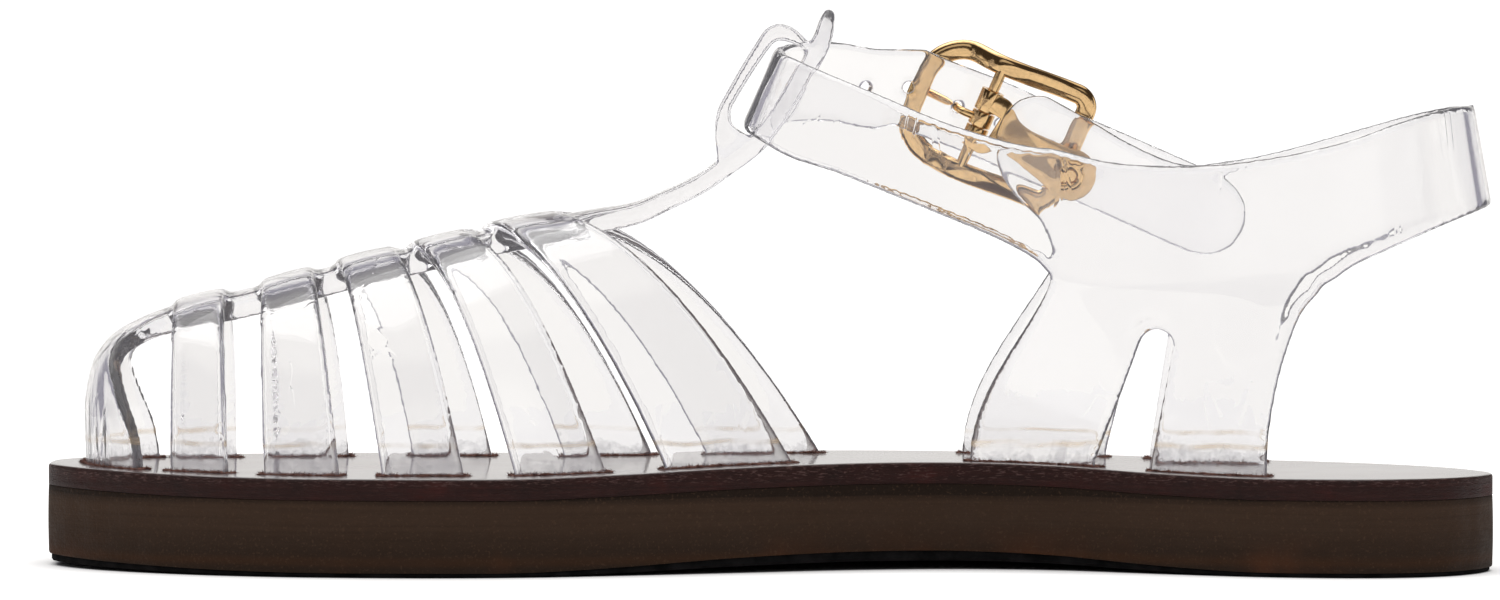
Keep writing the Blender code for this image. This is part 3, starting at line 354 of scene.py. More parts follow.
def smooth_value(table, column, at):
    """Read a column at a place along the table, on a smooth curve through its rows."""
    places = [row.along for row in table]
    values = [getattr(row, column) for row in table]
    last = len(table) - 1
    at = min(max(at, places[0]), places[last])
    low = max(i for i in range(last) if places[i] <= at)

    def slope(i):
        before, after = max(i - 1, 0), min(i + 1, last)
        return (values[after] - values[before]) / (places[after] - places[before])

    span = places[low + 1] - places[low]
    t = (at - places[low]) / span
    start, end = slope(low) * span, slope(low + 1) * span
    step = values[low + 1] - values[low]
    return values[low] + t * (start + t * (3 * step - 2 * start - end + t * (start + end - 2 * step)))


def sole_edge(x, side):
    column = "medial" if side == MEDIAL else "lateral"
    return smooth_value(SOLE_SECTIONS, column, x / SOLE_LENGTH) * BALL_WIDTH


def sole_rise(x, y):
    """Rise of every sole layer at a place, shared between its two edges."""
    inner, outer = sole_edge(x, MEDIAL), sole_edge(x, LATERAL)
    share = min(max((y - inner) / (outer - inner), 0.0), 1.0)
    medial = smooth_value(SOLE_SECTIONS, "medial_rise", x / SOLE_LENGTH)
    lateral = smooth_value(SOLE_SECTIONS, "lateral_rise", x / SOLE_LENGTH)
    return WAIST_RISE * (medial + (lateral - medial) * share)


def footbed_height(x, y):
    return FOOTBED_TOP + sole_rise(x, y)


def middle_line(x):
    return smooth_value(RIDGE_SECTIONS, "middle", x / SOLE_LENGTH) * BALL_WIDTH


def ridge_height(x):
    return FOOTBED_TOP + smooth_value(RIDGE_SECTIONS, "height", x / SOLE_LENGTH) * INSTEP_HEIGHT


def foot_line(x, side, inset):
    return sole_edge(x, side) - side * inset


def frame_at(origin, x_axis, y_axis, z_axis):
    turn = Matrix((x_axis, y_axis, z_axis)).transposed()
    return Matrix.Translation(origin) @ turn.to_4x4()


def through(points, places, steps, closed=False):
    """Points on a smooth curve through given ones, at even shares of each span of the places."""
    points = np.asarray(points, dtype=float)
    count = len(points)
    out = []
    spans = count if closed else count - 1
    period = places[-1] - places[0]
    if closed:
        period += float(np.linalg.norm(points[0] - points[-1]))

    def at(i):
        if closed:
            return points[i % count], places[i % count] + period * (i // count)
        i = min(max(i, 0), count - 1)
        return points[i], places[i]

    def slope(i):
        (before, t0), (after, t1) = at(i - 1), at(i + 1)
        return (after - before) / (t1 - t0)

    for i in range(spans):
        (p, t0), (q, t1) = at(i), at(i + 1)
        span = t1 - t0
        m, n = slope(i) * span, slope(i + 1) * span
        step = q - p
        for k in range(steps):
            t = k / steps
            out.append(p + t * (m + t * (3 * step - 2 * m - n + t * (m + n - 2 * step))))
    if not closed:
        out.append(points[-1])
    return np.array(out)


def lengths_along(points):
    steps = np.linalg.norm(np.diff(np.asarray(points, dtype=float), axis=0), axis=1)
    return [0.0] + list(np.cumsum(np.maximum(steps, 1e-7)))


def smooth_line(points, steps, closed=False):
    return through(points, lengths_along(points), steps, closed)


def denser(rows, steps_down, steps_across):
    """Rows of a finer grid of points through a coarse one."""
    grid = np.array([[tuple(p) for p in row] for row in rows])
    down = lengths_along(grid[:, grid.shape[1] // 2])
    grid = through(grid, down, steps_down)
    across = lengths_along(grid.mean(axis=0))
    grid = np.swapaxes(through(np.swapaxes(grid, 0, 1), across, steps_across), 0, 1)
    return [[Vector(p) for p in row] for row in grid]


# Mesh helpers

def link(obj):
    bpy.context.scene.collection.objects.link(obj)
    return obj


def object_of(name, shell):
    mesh = bpy.data.meshes.new(name)
    shell.to_mesh(mesh)
    shell.free()
    return link(bpy.data.objects.new(name, mesh))


def baked(obj):
    """Replace an object by a plain mesh of what its modifiers make."""
    bpy.context.view_layer.update()
    graph = bpy.context.evaluated_depsgraph_get()
    mesh = bpy.data.meshes.new_from_object(obj.evaluated_get(graph))
    mesh.transform(obj.matrix_world)
    name = obj.name
    bpy.data.objects.remove(obj)
    result = link(bpy.data.objects.new(name, mesh))
    result.name = name
    return result


def faces_outward(shell, inside):
    shell.normal_update()
    facing = sum((f.calc_center_median() - inside).dot(f.normal) * f.calc_area() for f in shell.faces)
    if facing < 0:
        bmesh.ops.reverse_faces(shell, faces=shell.faces)


def sheet(name, rows, thickness, inside, shares=None, rim=0.0):
    """Wall of a thickness behind a grid of points, with rounded rims."""
    shell = bmesh.new()
    grid = [[shell.verts.new(p) for p in row] for row in rows]
    for near, far in zip(grid, grid[1:]):
        for i in range(len(near) - 1):
            shell.faces.new((near[i], near[i + 1], far[i + 1], far[i]))
    faces_outward(shell, inside)
    obj = object_of(name, shell)
    wall = obj.modifiers.new("wall", "SOLIDIFY")
    wall.thickness = thickness
    wall.offset = -1
    wall.use_even_offset = True
    if shares is not None:
        group = obj.vertex_groups.new(name="share")
        width = len(rows[0])
        for row, share in enumerate(shares):
            group.add(list(range(row * width, (row + 1) * width)), float(share), "REPLACE")
        wall.vertex_group = "share"
    if rim:
        add_bevel(obj, rim, 55)
    return baked(obj)


def add_bevel(obj, width, angle):
    edge = obj.modifiers.new("rounded_rim", "BEVEL")
    edge.width = width
    edge.segments = 2
    edge.limit_method = "ANGLE"
    edge.angle_limit = math.radians(angle)
    edge.harden_normals = False


def plate(name, outlines, thickness, frame_matrix, rim=0.0):
    """Plate of a thickness, centred on the frame's XY plane; later outlines are holes."""
    curve = bpy.data.curves.new(name, "CURVE")
    curve.dimensions = "2D"
    curve.fill_mode = "BOTH"
    curve.extrude = thickness / 2
    for outline in outlines:
        spline = curve.splines.new("POLY")
        spline.points.add(len(outline) - 1)
        for point, (x, y) in zip(spline.points, outline):
            point.co = (x, y, 0, 1)
        spline.use_cyclic_u = True
    obj = link(bpy.data.objects.new(name, curve))
    flat = baked(obj)
    shell = bmesh.new()
    shell.from_mesh(flat.data)
    bmesh.ops.remove_doubles(shell, verts=shell.verts, dist=0.000001)
    bmesh.ops.dissolve_limit(shell, angle_limit=0.001, verts=shell.verts, edges=shell.edges)
    bmesh.ops.recalc_face_normals(shell, faces=shell.faces)
    shell.to_mesh(flat.data)
    shell.free()
    if rim:
        add_bevel(flat, rim, 50)
        flat = baked(flat)
    flat.data.transform(frame_matrix)
    return flat


def circle(radius, count=48, centre=(0.0, 0.0)):
    steps = [2 * math.pi * i / count for i in range(count)]
    return [(centre[0] + radius * math.cos(a), centre[1] + radius * math.sin(a)) for a in steps]


def cylinder(name, radius, length, frame_matrix, count=32):
    solid = bmesh.new()
    bmesh.ops.create_cone(solid, cap_ends=True, segments=count, radius1=radius, radius2=radius, depth=length)
    bmesh.ops.transform(solid, matrix=frame_matrix, verts=solid.verts)
    return object_of(name, solid)


def cut_away(base, tool):
    change = base.modifiers.new("cut", "BOOLEAN")
    change.operation = "DIFFERENCE"
    change.solver = "EXACT"
    change.object = tool
    result = baked(base)
    bpy.data.objects.remove(tool)
    return result


def joined(name, objects):
    """One object from several, with their meshes side by side."""
    shell = bmesh.new()
    for obj in objects:
        shell.from_mesh(obj.data)
        bpy.data.objects.remove(obj)
    return object_of(name, shell)


def melted(body, voxel):
    melt = body.modifiers.new("melt", "REMESH")
    melt.mode = "VOXEL"
    melt.voxel_size = voxel
    melt.adaptivity = 0.0
    return baked(body)


def moulded(name, objects, voxel, rounds, tools=()):
    """Melt overlapping walls into one closed body with soft joins, and cut tools out of it."""
    body = melted(joined(name, objects), voxel)
    if tools:
        body = melted(cut_away(body, joined("tools", tools)), voxel)
    soften = body.modifiers.new("soften", "SMOOTH")
    soften.factor = 0.5
    soften.iterations = rounds
    body = baked(body)
    triangles = sum(len(face.vertices) - 2 for face in body.data.polygons)
    if triangles > MOST_TRIANGLES:
        thin = body.modifiers.new("thin", "DECIMATE")
        thin.ratio = MOST_TRIANGLES / triangles
        body = baked(body)
    body.data.shade_smooth()
    return body


def sweep(name, path, normals, profile, closed, taper=None):
    """Tube of a profile along a path; the profile's Y follows the given normals."""
    count = len(path)
    shell = bmesh.new()
    rings = []
    for i, (point, normal) in enumerate(zip(path, normals)):
        before = path[(i - 1) % count if closed else max(i - 1, 0)]
        after = path[(i + 1) % count if closed else min(i + 1, count - 1)]
        tangent = (after - before).normalized()
        side = tangent.cross(normal).normalized()
        up = side.cross(tangent).normalized()
        size = 1.0 if taper is None else taper[i]
        rings.append([shell.verts.new(point + side * (u * size) + up * (v * size)) for u, v in profile])
    pairs = list(zip(rings, rings[1:]))
    if closed:
        pairs.append((rings[-1], rings[0]))
    for near, far in pairs:
        for k in range(len(profile)):
            after = (k + 1) % len(profile)
            shell.faces.new((near[k], near[after], far[after], far[k]))
    if not closed:
        shell.faces.new(rings[0][::-1])
        shell.faces.new(rings[-1])
    bmesh.ops.recalc_face_normals(shell, faces=shell.faces)
    return object_of(name, shell)


def smooth_shaded(obj, angle=40):
    obj.data.shade_smooth()
    obj.data.set_sharp_from_angle(angle=math.radians(angle))
    return obj


# Material helpers

class ShaderTree:
    """Node tree of a material or of the room, with short calls for the nodes used here."""

    def __init__(self, owner, place):
        owner.use_nodes = True
        self.nodes = owner.node_tree.nodes
        self.links = owner.node_tree.links
        self.place = self.nodes.new("ShaderNodeTexCoord").outputs[place]

    def join(self, source, target):
        self.links.new(source, target)

    def node(self, kind, **settings):
        made = self.nodes.new(kind)
        for key, value in settings.items():
            setattr(made, key, value)
        return made

    def mapped(self, scale=(1, 1, 1), turn=(0, 0, 0), shift=(0, 0, 0)):
        mapping = self.node("ShaderNodeMapping")
        mapping.inputs["Scale"].default_value = scale
        mapping.inputs["Rotation"].default_value = turn
        mapping.inputs["Location"].default_value = shift
        self.join(self.place, mapping.inputs["Vector"])
        return mapping.outputs["Vector"]

    def noise(self, scale, detail=3.0, rough=0.5, vector=None, distortion=0.0):
        texture = self.node("ShaderNodeTexNoise")
        texture.inputs["Scale"].default_value = scale
        texture.inputs["Detail"].default_value = detail
        texture.inputs["Roughness"].default_value = rough
        texture.inputs["Distortion"].default_value = distortion
        self.join(vector or self.place, texture.inputs["Vector"])
        return texture.outputs["Fac"]

    def ramp(self, value, stops):
        made = self.node("ShaderNodeValToRGB")
        made.color_ramp.interpolation = "EASE"
        elements = made.color_ramp.elements
        while len(elements) < len(stops):
            elements.new(0.5)
        for element, (at, colour) in zip(elements, stops):
            element.position = at
            element.color = colour if len(colour) == 4 else (*colour, 1.0)
        self.join(value, made.inputs["Fac"])
        return made.outputs["Color"]

    def grey_ramp(self, value, stops):
        return self.ramp(value, [(at, (level,) * 3) for at, level in stops])

    def math(self, operation, first, second=None, clamp=False):
        made = self.node("ShaderNodeMath", operation=operation, use_clamp=clamp)
        for socket, value in zip(made.inputs, (first, second)):
            if value is None:
                continue
            if isinstance(value, (int, float)):
                socket.default_value = value
            else:
                self.join(value, socket)
        return made.outputs["Value"]

    def axis(self, name, vector=None):
        split = self.node("ShaderNodeSeparateXYZ")
        self.join(vector or self.place, split.inputs["Vector"])
        return split.outputs[name]

    def span(self, value, low, high, to_low=0.0, to_high=1.0, soft=False):
        made = self.node("ShaderNodeMapRange", interpolation_type="SMOOTHSTEP" if soft else "LINEAR")
        for key, number in (("From Min", low), ("From Max", high), ("To Min", to_low), ("To Max", to_high)):
            made.inputs[key].default_value = number
        self.join(value, made.inputs["Value"])
        return made.outputs["Result"]

    def mix(self, share, first, second):
        made = self.node("ShaderNodeMix", data_type="RGBA")
        for socket, value in ((made.inputs[0], share), (made.inputs[6], first), (made.inputs[7], second)):
            if isinstance(value, (int, float)):
                socket.default_value = value
            elif isinstance(value, tuple):
                socket.default_value = value if len(value) == 4 else (*value, 1.0)
            else:
                self.join(value, socket)
        return made.outputs[2]


class Paint(ShaderTree):
    """Node tree of one material."""

    def __init__(self, name):
        self.material = bpy.data.materials.new(name)
        super().__init__(self.material, "Object")
        self.shader = self.nodes["Principled BSDF"]
        self.output = self.nodes["Material Output"]

    def put(self, name, value):
        self.shader.inputs[name].default_value = value

    def feed(self, name, source):
        self.join(source, self.shader.inputs[name])

    def bump(self, height, distance, strength=1.0, below=None):
        made = self.node("ShaderNodeBump")
        made.inputs["Strength"].default_value = strength
        made.inputs["Distance"].default_value = distance
        self.join(height, made.inputs["Height"])
        if below is not None:
            self.join(below, made.inputs["Normal"])
        return made.outputs["Normal"]


def toned(colour, *shares):
    """A colour with its channels scaled, by one share or by one for each."""
    shares = shares if len(shares) == 3 else shares * 3
    return tuple(min(1.0, c * share) for c, share in zip(colour, shares))


def cached(name, make):
    return bpy.data.materials.get(name) or make(name)


def jelly_plastic(name):
    """Clear soft plastic: slightly violet in thick runs, with cloudy marks at its feet."""
    paint = Paint(name)
    look = bpy.context.scene.sandal_look
    paint.put("Base Color", (1.0, 1.0, 1.0, 1.0))
    paint.put("Transmission Weight", 1.0)
    paint.put("IOR", 1.50)
    paint.put("Roughness", 0.0)
    wavy = paint.noise(55.0, 1.0, 0.4)
    flow = paint.noise(1.0, 1.0, 0.5, paint.mapped((320, 320, 60)), 1.2)
    first = paint.bump(wavy, 0.0006, 0.22)
    second = paint.bump(flow, 0.00003, 0.2, first)
    drift = paint.noise(1.0, 1.0, 0.55, paint.mapped((75, 75, 17), shift=(0.3, 0.1, 0.7)), 0.5)
    crease = paint.math("MULTIPLY", paint.math("ABSOLUTE", paint.math("SUBTRACT", drift, 0.5)), 60.0, clamp=True)
    kept = paint.grey_ramp(paint.noise(60.0, 0.0, 0.5), [(0.52, 1.0), (0.62, 0.0)])
    crease = paint.math("MAXIMUM", crease, kept)
    paint.feed("Normal", paint.bump(crease, 0.00008, 0.45, second))

    height = paint.axis("Z")
    wobble = paint.span(paint.noise(90.0, 1.0, 0.6), 0.0, 1.0, -0.0009, 0.0009)
    level = paint.math("ADD", height, wobble)
    off_line = paint.math("ABSOLUTE", paint.math("SUBTRACT", level, FOOTBED_TOP + GLUE_LINE_HEIGHT))
    line = paint.span(off_line, 0.00020, 0.0006, 1.0, 0.0)
    broken = paint.grey_ramp(paint.noise(140.0, 2.0, 0.5), [(0.42, 0.15), (0.62, 1.0)])
    line = paint.math("MULTIPLY", line, broken)

    cloud_edge = paint.span(paint.noise(260.0, 2.0, 0.65), 0.25, 0.75, -0.0016, 0.0028)
    above = paint.math("SUBTRACT", paint.math("ADD", height, cloud_edge), FOOTBED_TOP + GLUE_CLOUD_HEIGHT)
    cloud = paint.span(above, -0.0004, 0.0004, 1.0, 0.0)
    cloud = paint.math("MULTIPLY", cloud, paint.grey_ramp(paint.noise(420.0, 2.0, 0.7), [(0.35, 0.1), (0.65, 0.85)]))

    def over(share, below, colour):
        film = paint.node("ShaderNodeBsdfTranslucent")
        film.inputs["Color"].default_value = (*colour, 1.0)
        made = paint.node("ShaderNodeMixShader")
        if isinstance(share, float):
            made.inputs[0].default_value = share
        else:
            paint.join(share, made.inputs[0])
        paint.join(below, made.inputs[1])
        paint.join(film.outputs[0], made.inputs[2])
        return made.outputs[0]

    hazy = over(look.plastic_haze, paint.shader.outputs[0], (0.86, 0.85, 0.88))
    stained = over(paint.math("MULTIPLY", line, GLUE_FILM), hazy, tuple(look.stain_colour))
    clouded = over(paint.math("MULTIPLY", cloud, GLUE_FILM), stained, (0.66, 0.65, 0.68))

    pass_light = paint.node("ShaderNodeBsdfTransparent")
    pass_light.inputs["Color"].default_value = (0.93, 0.93, 0.945, 1.0)
    path = paint.node("ShaderNodeLightPath")
    final = paint.node("ShaderNodeMixShader")
    paint.join(path.outputs["Is Shadow Ray"], final.inputs[0])
    paint.join(clouded, final.inputs[1])
    paint.join(pass_light.outputs[0], final.inputs[2])
    paint.join(final.outputs[0], paint.output.inputs["Surface"])
    depth = paint.node("ShaderNodeVolumeAbsorption")
    depth.inputs["Color"].default_value = (*look.plastic_depth_colour, 1.0)
    depth.inputs["Density"].default_value = look.plastic_depth
    paint.join(depth.outputs[0], paint.output.inputs["Volume"])
    return paint.material


def polished_gold(name):
    paint = Paint(name)
    look = bpy.context.scene.sandal_look
    paint.put("Metallic", 1.0)
    fine = paint.noise(900.0, 4.0, 0.6)
    paint.feed("Base Color", paint.ramp(fine, [(0.3, toned(look.gold_colour, 0.86)), (0.7, tuple(look.gold_colour))]))
    paint.feed("Roughness", paint.span(paint.noise(350.0, 5.0, 0.7), 0.2, 0.8, 0.06, 0.16))
    soft = paint.bump(paint.noise(240.0, 2.0, 0.4), 0.0002, 0.25)
    paint.feed("Normal", paint.bump(fine, 0.00002, 0.3, soft))
    return paint.material


def footbed_leather(name):
    """Dark smooth leather: fine pores, faint creases, a polished wax finish."""
    paint = Paint(name)
    dark = bpy.context.scene.sandal_look.leather_colour
    light = toned(dark, 1.9)
    patches = paint.noise(38.0, 4.0, 0.6)
    grain = paint.noise(1500.0, 4.0, 0.6)
    colour = paint.ramp(patches, [(0.3, tuple(dark)), (0.75, light)])
    colour = paint.mix(paint.grey_ramp(grain, [(0.4, 0.0), (0.7, 0.35)]), colour, toned(dark, 0.45))
    paint.feed("Base Color", colour)
    paint.feed("Roughness", paint.span(patches, 0.25, 0.75, 0.30, 0.42))
    paint.put("Coat Weight", 0.65)
    paint.put("Coat Roughness", 0.06)
    cells = paint.node("ShaderNodeTexVoronoi")
    cells.inputs["Scale"].default_value = 1250.0
    paint.join(paint.place, cells.inputs["Vector"])
    pores = paint.bump(cells.outputs["Distance"], 0.00006, 0.35)
    paint.feed("Normal", paint.bump(grain, 0.00005, 0.3, pores))
    return paint.material


def burnished_edge(name):
    """Cut leather edge: dyed, rubbed glossy, with slanted drag marks near its top."""
    paint = Paint(name)
    dark = bpy.context.scene.sandal_look.edge_colour
    drag = paint.noise(1.0, 5.0, 0.65, paint.mapped((700, 700, 3600), (0, 0.9, 0)), 0.4)
    patches = paint.noise(120.0, 4.0, 0.6)
    layers = paint.noise(1.0, 3.0, 0.6, paint.mapped((60, 60, 1900)))
    base = paint.ramp(patches, [(0.28, toned(dark, 0.55)), (0.5, tuple(dark)),
                                (0.78, toned(dark, 1.8, 1.2, 1.15))])
    streaks = paint.grey_ramp(layers, [(0.35, 0.0), (0.65, 0.55)])
    base = paint.mix(streaks, base, toned(dark, 0.5))
    flecks = paint.grey_ramp(drag, [(0.52, 0.0), (0.64, 0.8)])
    high = paint.span(paint.axis("Z"), FOOTBED_TOP - 0.0016, FOOTBED_TOP - 0.0004, 0.12, 1.0)
    base = paint.mix(paint.math("MULTIPLY", flecks, high), base, toned(dark, 4.0, 8.5, 10.0))
    paint.feed("Base Color", base)
    paint.feed("Roughness", paint.span(patches, 0.25, 0.75, 0.38, 0.6))
    paint.put("Specular IOR Level", 0.2)
    rough = paint.bump(layers, 0.0002, 0.8)
    paint.feed("Normal", paint.bump(drag, 0.0003, 0.9, rough))
    return paint.material


def midsole_rubber(name):
    """Brown pressed midsole: faint layers, dark lower third, warm rubbed tints by the bottom."""
    paint = Paint(name)
    brown = bpy.context.scene.sandal_look.midsole_colour
    height = paint.axis("Z")
    wander = paint.span(paint.noise(35.0, 3.0, 0.5), 0.0, 1.0, -0.0006, 0.0006)
    level = paint.span(paint.math("ADD", height, wander), MIDSOLE_BOTTOM, FOOTBED_BOTTOM)
    body = paint.ramp(level, [
        (0.00, toned(brown, 0.62)), (0.10, toned(brown, 0.95, 0.78, 0.62)),
        (0.24, toned(brown, 0.70)), (0.40, toned(brown, 0.82)),
        (0.62, toned(brown, 1.04)), (0.88, toned(brown, 1.10)),
        (0.97, toned(brown, 0.7)), (1.00, toned(brown, 0.35)),
    ])
    layers = paint.noise(1.0, 4.0, 0.6, paint.mapped((22, 22, 1500)))
    body = paint.mix(paint.grey_ramp(layers, [(0.4, 0.0), (0.75, 0.30)]), body, toned(brown, 0.55))
    warm = paint.math("MULTIPLY", paint.grey_ramp(paint.noise(28.0, 4.0, 0.65), [(0.5, 0.0), (0.72, 0.55)]),
                      paint.span(level, 0.55, 0.0, 0.0, 1.0))
    body = paint.mix(warm, body, toned(brown, 2.3, 1.35, 0.85))
    specks = paint.grey_ramp(paint.noise(2100.0, 3.0, 0.6), [(0.56, 0.0), (0.70, 0.45)])
    body = paint.mix(specks, body, toned(brown, 1.9))
    paint.feed("Base Color", body)
    paint.feed("Roughness", paint.span(paint.noise(200.0), 0.3, 0.7, 0.55, 0.72))
    paint.put("Specular IOR Level", 0.12)
    coarse = paint.bump(layers, 0.0002, 0.6)
    paint.feed("Normal", paint.bump(paint.noise(1100.0, 4.0, 0.7), 0.0003, 0.8, coarse))
    return paint.material


def black_rubber(name):
    # Near-black rubber of the outsole sheet, which also stands for the painted shade under the arch
    paint = Paint(name)
    tones = [(0.3, (0.004, 0.004, 0.004)), (0.7, (0.013, 0.012, 0.012))]
    paint.feed("Base Color", paint.ramp(paint.noise(300.0, 4.0, 0.6), tones))
    paint.put("Roughness", 0.9)
    paint.put("Specular IOR Level", 0.05)
    paint.feed("Normal", paint.bump(paint.noise(1400.0, 3.0, 0.6), 0.00008, 0.6))
    return paint.material


def raw_leather(name):
    """Torn reddish leather round the slits."""
    paint = Paint(name)
    lip = bpy.context.scene.sandal_look.lip_colour
    tones = [(0.3, toned(lip, 0.45)), (0.55, tuple(lip)), (0.8, toned(lip, 2.0))]
    paint.feed("Base Color", paint.ramp(paint.noise(900.0, 5.0, 0.7), tones))
    paint.put("Roughness", 0.85)
    paint.feed("Normal", paint.bump(paint.noise(2500.0, 3.0, 0.7), 0.0001, 0.8))
    return paint.material


# Sole

def sole_outline(inset):
    """Closed outline of the sole, drawn in by an inset: (x, y) points from the toe, inner side first."""
    inner = [(s.along * SOLE_LENGTH, s.medial * BALL_WIDTH) for s in SOLE_SECTIONS]
    outer = [(s.along * SOLE_LENGTH, s.lateral * BALL_WIDTH) for s in SOLE_SECTIONS]
    coarse = inner + outer[::-1]
    line = smooth_line(coarse, SOLE_STEPS, closed=True)
    after, before = np.roll(line, -1, axis=0), np.roll(line, 1, axis=0)
    tangent = after - before
    tangent /= np.linalg.norm(tangent, axis=1)[:, None]
    inward = np.stack([-tangent[:, 1], tangent[:, 0]], axis=1)
    return line + inward * inset


def sole_body(name, levels, top_rings=7, lifts=(1.0, 1.0)):
    """Closed sole layer from side levels of (height, inset); lifts scale the waist's rise at its two faces."""
    shell = bmesh.new()
    rings = []

    def ring(height, inset, share, lift=1.0):
        line = sole_outline(inset)
        turned = np.roll(line[::-1], 1 + LADDER_SHIFT, axis=0)
        centre = (line + turned) / 2
        flat = line * (1 - share) + centre * share
        return [shell.verts.new((x, y, height + lift * sole_rise(x, y))) for x, y in flat]

    low, high = levels[0], levels[-1]
    for k in range(top_rings, 0, -1):
        rings.append(ring(low[0], low[1], (k / top_rings) ** 1.3, lifts[0]))
    for height, inset in levels:
        share = (height - low[0]) / (high[0] - low[0])
        rings.append(ring(height, inset, 0.0, lifts[0] + (lifts[1] - lifts[0]) * share))
    for k in range(1, top_rings + 1):
        rings.append(ring(high[0], high[1], (k / top_rings) ** 1.3, lifts[1]))
    for near, far in zip(rings, rings[1:]):
        for i in range(len(near)):
            after = (i + 1) % len(near)
            shell.faces.new((near[i], near[after], far[after], far[i]))
    bmesh.ops.remove_doubles(shell, verts=shell.verts, dist=0.000004)
    bmesh.ops.dissolve_degenerate(shell, edges=shell.edges, dist=0.000001)
    bmesh.ops.recalc_face_normals(shell, faces=shell.faces)
    return object_of(name, shell)


def away_from(inside, line, i):
    """Level direction square to a plan line at one of its points, away from an inner point."""
    tangent = line[min(i + 1, len(line) - 1)] - line[max(i - 1, 0)]
    normal = Vector((-tangent.y, tangent.x, 0)).normalized()
    return -normal if normal.dot(inside - line[i]) > 0 else normal


def slit_line(points, inside, reach):
    """Plan line of one slit: a strap's outer face, drawn out by a reach and past both ends."""
    first, last = points[0], points[-1]
    start = (points[1] - first).normalized()
    end = (points[-2] - last).normalized()
    line = [first - start * reach] + points[1:-1] + [last - end * reach]
    return [p + away_from(inside, line, i) * reach for i, p in enumerate(line)]


def strap_feet():
    """Plan line, inner point and thickness of every strap that goes down into the footbed."""
    rows, shares = spine_rows()
    centre = Vector((-0.3 * SOLE_LENGTH, 0, FOOTBED_TOP))
    feet = [([p.copy() for p in rows[0]], centre, SPINE_THICKNESS * shares[0])]
    for strap in CROSS_STRAPS:
        for side in (MEDIAL, LATERAL):
            points = [leg_point(strap, side, e, math.pi / 2, LEG_STEP) for e in (0.0, 0.5, 1.0)]
            inside = Vector((points[1].x, 0, points[1].z))
            feet.append((points, inside, LEG_THICKNESS))
    for panel, notch in ((MEDIAL_PANEL, NOTCHES[0]), (LATERAL_PANEL, NOTCHES[1])):
        ends = [item.foot for item in panel]
        for start, end in ((ends[0], notch.foot_front), (notch.foot_rear, ends[-1])):
            stops = [start] + [f for f in ends if start < f < end] + [end]
            points = [strut_foot(panel, notch.side, stop) for stop in stops]
            inside = Vector((points[0].x, middle_line(0.0), points[0].z))
            feet.append((points, inside, WALL_THICKNESS))
    return feet


def strut_foot(panel, side, along):
    places = [item.foot * SOLE_LENGTH for item in panel]
    feet = [Vector((place_x, foot_line(place_x, side, STRUT_INSET), 0)) for place_x in places]
    x = along * SOLE_LENGTH
    i = max(j for j in range(len(feet) - 1) if feet[j].x <= x + FIT_GAP / 100)
    share = (x - feet[i].x) / (feet[i + 1].x - feet[i].x)
    return feet[i].lerp(feet[i + 1], share)


def slit_cutters():
    tools = []
    for points, inside, thickness in strap_feet():
        line = slit_line(points, inside, FIT_GAP)
        low, high = FOOTBED_BOTTOM - 0.001, FOOTBED_TOP + 0.004
        rows = [[Vector((p.x, p.y, z)) for p in line] for z in (low, high)]
        tools.append(sheet("slit", rows, thickness + 2 * FIT_GAP, inside))
    return joined("slits", tools)


# Cage over the forefoot

def leg_point(strap, side, edge, turn, step):
    """Point of a cross strap's edge, by the angle from the spine down to the foot."""
    share = max(math.cos(turn), 0.0) ** (2 / LAST_FULLNESS)
    across = math.sin(turn) ** (2 / LAST_FULLNESS)
    foot = strap.medial if side == MEDIAL else strap.lateral
    top_x = (strap.top[0] + (strap.top[1] - strap.top[0]) * edge) * SOLE_LENGTH
    foot_x = (foot[0] + (foot[1] - foot[0]) * edge) * SOLE_LENGTH
    x = top_x + (foot_x - top_x) * (1 - share) ** LEG_SWEEP
    middle = middle_line(x)
    half = abs(foot_line(x, side, LEG_INSET) - middle)
    base = footbed_height(x, foot_line(x, side, LEG_INSET))
    rise = ridge_height(x) - base
    outward = Vector((0, across ** (LAST_FULLNESS - 1) / half * side, share ** (LAST_FULLNESS - 1) / rise))
    return Vector((x, middle + side * half * across, base + rise * share)) + outward.normalized() * step


def cross_strap(strap):
    """One strap from the sole over the spine to the other side, its face a little crowned."""
    edges = [i / LEG_EDGES for i in range(LEG_EDGES + 1)]
    rows = []
    for side in (MEDIAL, LATERAL):
        turns = [math.radians(90 * i / LEG_TURNS) for i in range(LEG_TURNS + 1)]
        leg = []
        for turn in turns:
            row = []
            for edge in edges:
                crown = STRAP_CROWN * (1 - (2 * edge - 1) ** 2)
                row.append(leg_point(strap, side, edge, turn, LEG_STEP + crown))
            leg.append(row)
        leg.append([p - Vector((0, 0, FOOTBED_THICKNESS)) for p in leg[-1]])
        rows = leg[::-1] if side == MEDIAL else rows + leg[1:]
    middle = sum(strap.top) / 2 * SOLE_LENGTH
    inside = Vector((middle, middle_line(middle), FOOTBED_TOP))
    return sheet("strap_" + strap.name, rows, LEG_THICKNESS, inside, rim=STRAP_RIM)


def spine_sections():
    run = [
        RUN_SECTION._replace(along=a, height=smooth_value(RIDGE_SECTIONS, "height", a))
        for a in SPINE_RUN
    ]
    return TOE_SECTIONS + run + TONGUE_SECTIONS


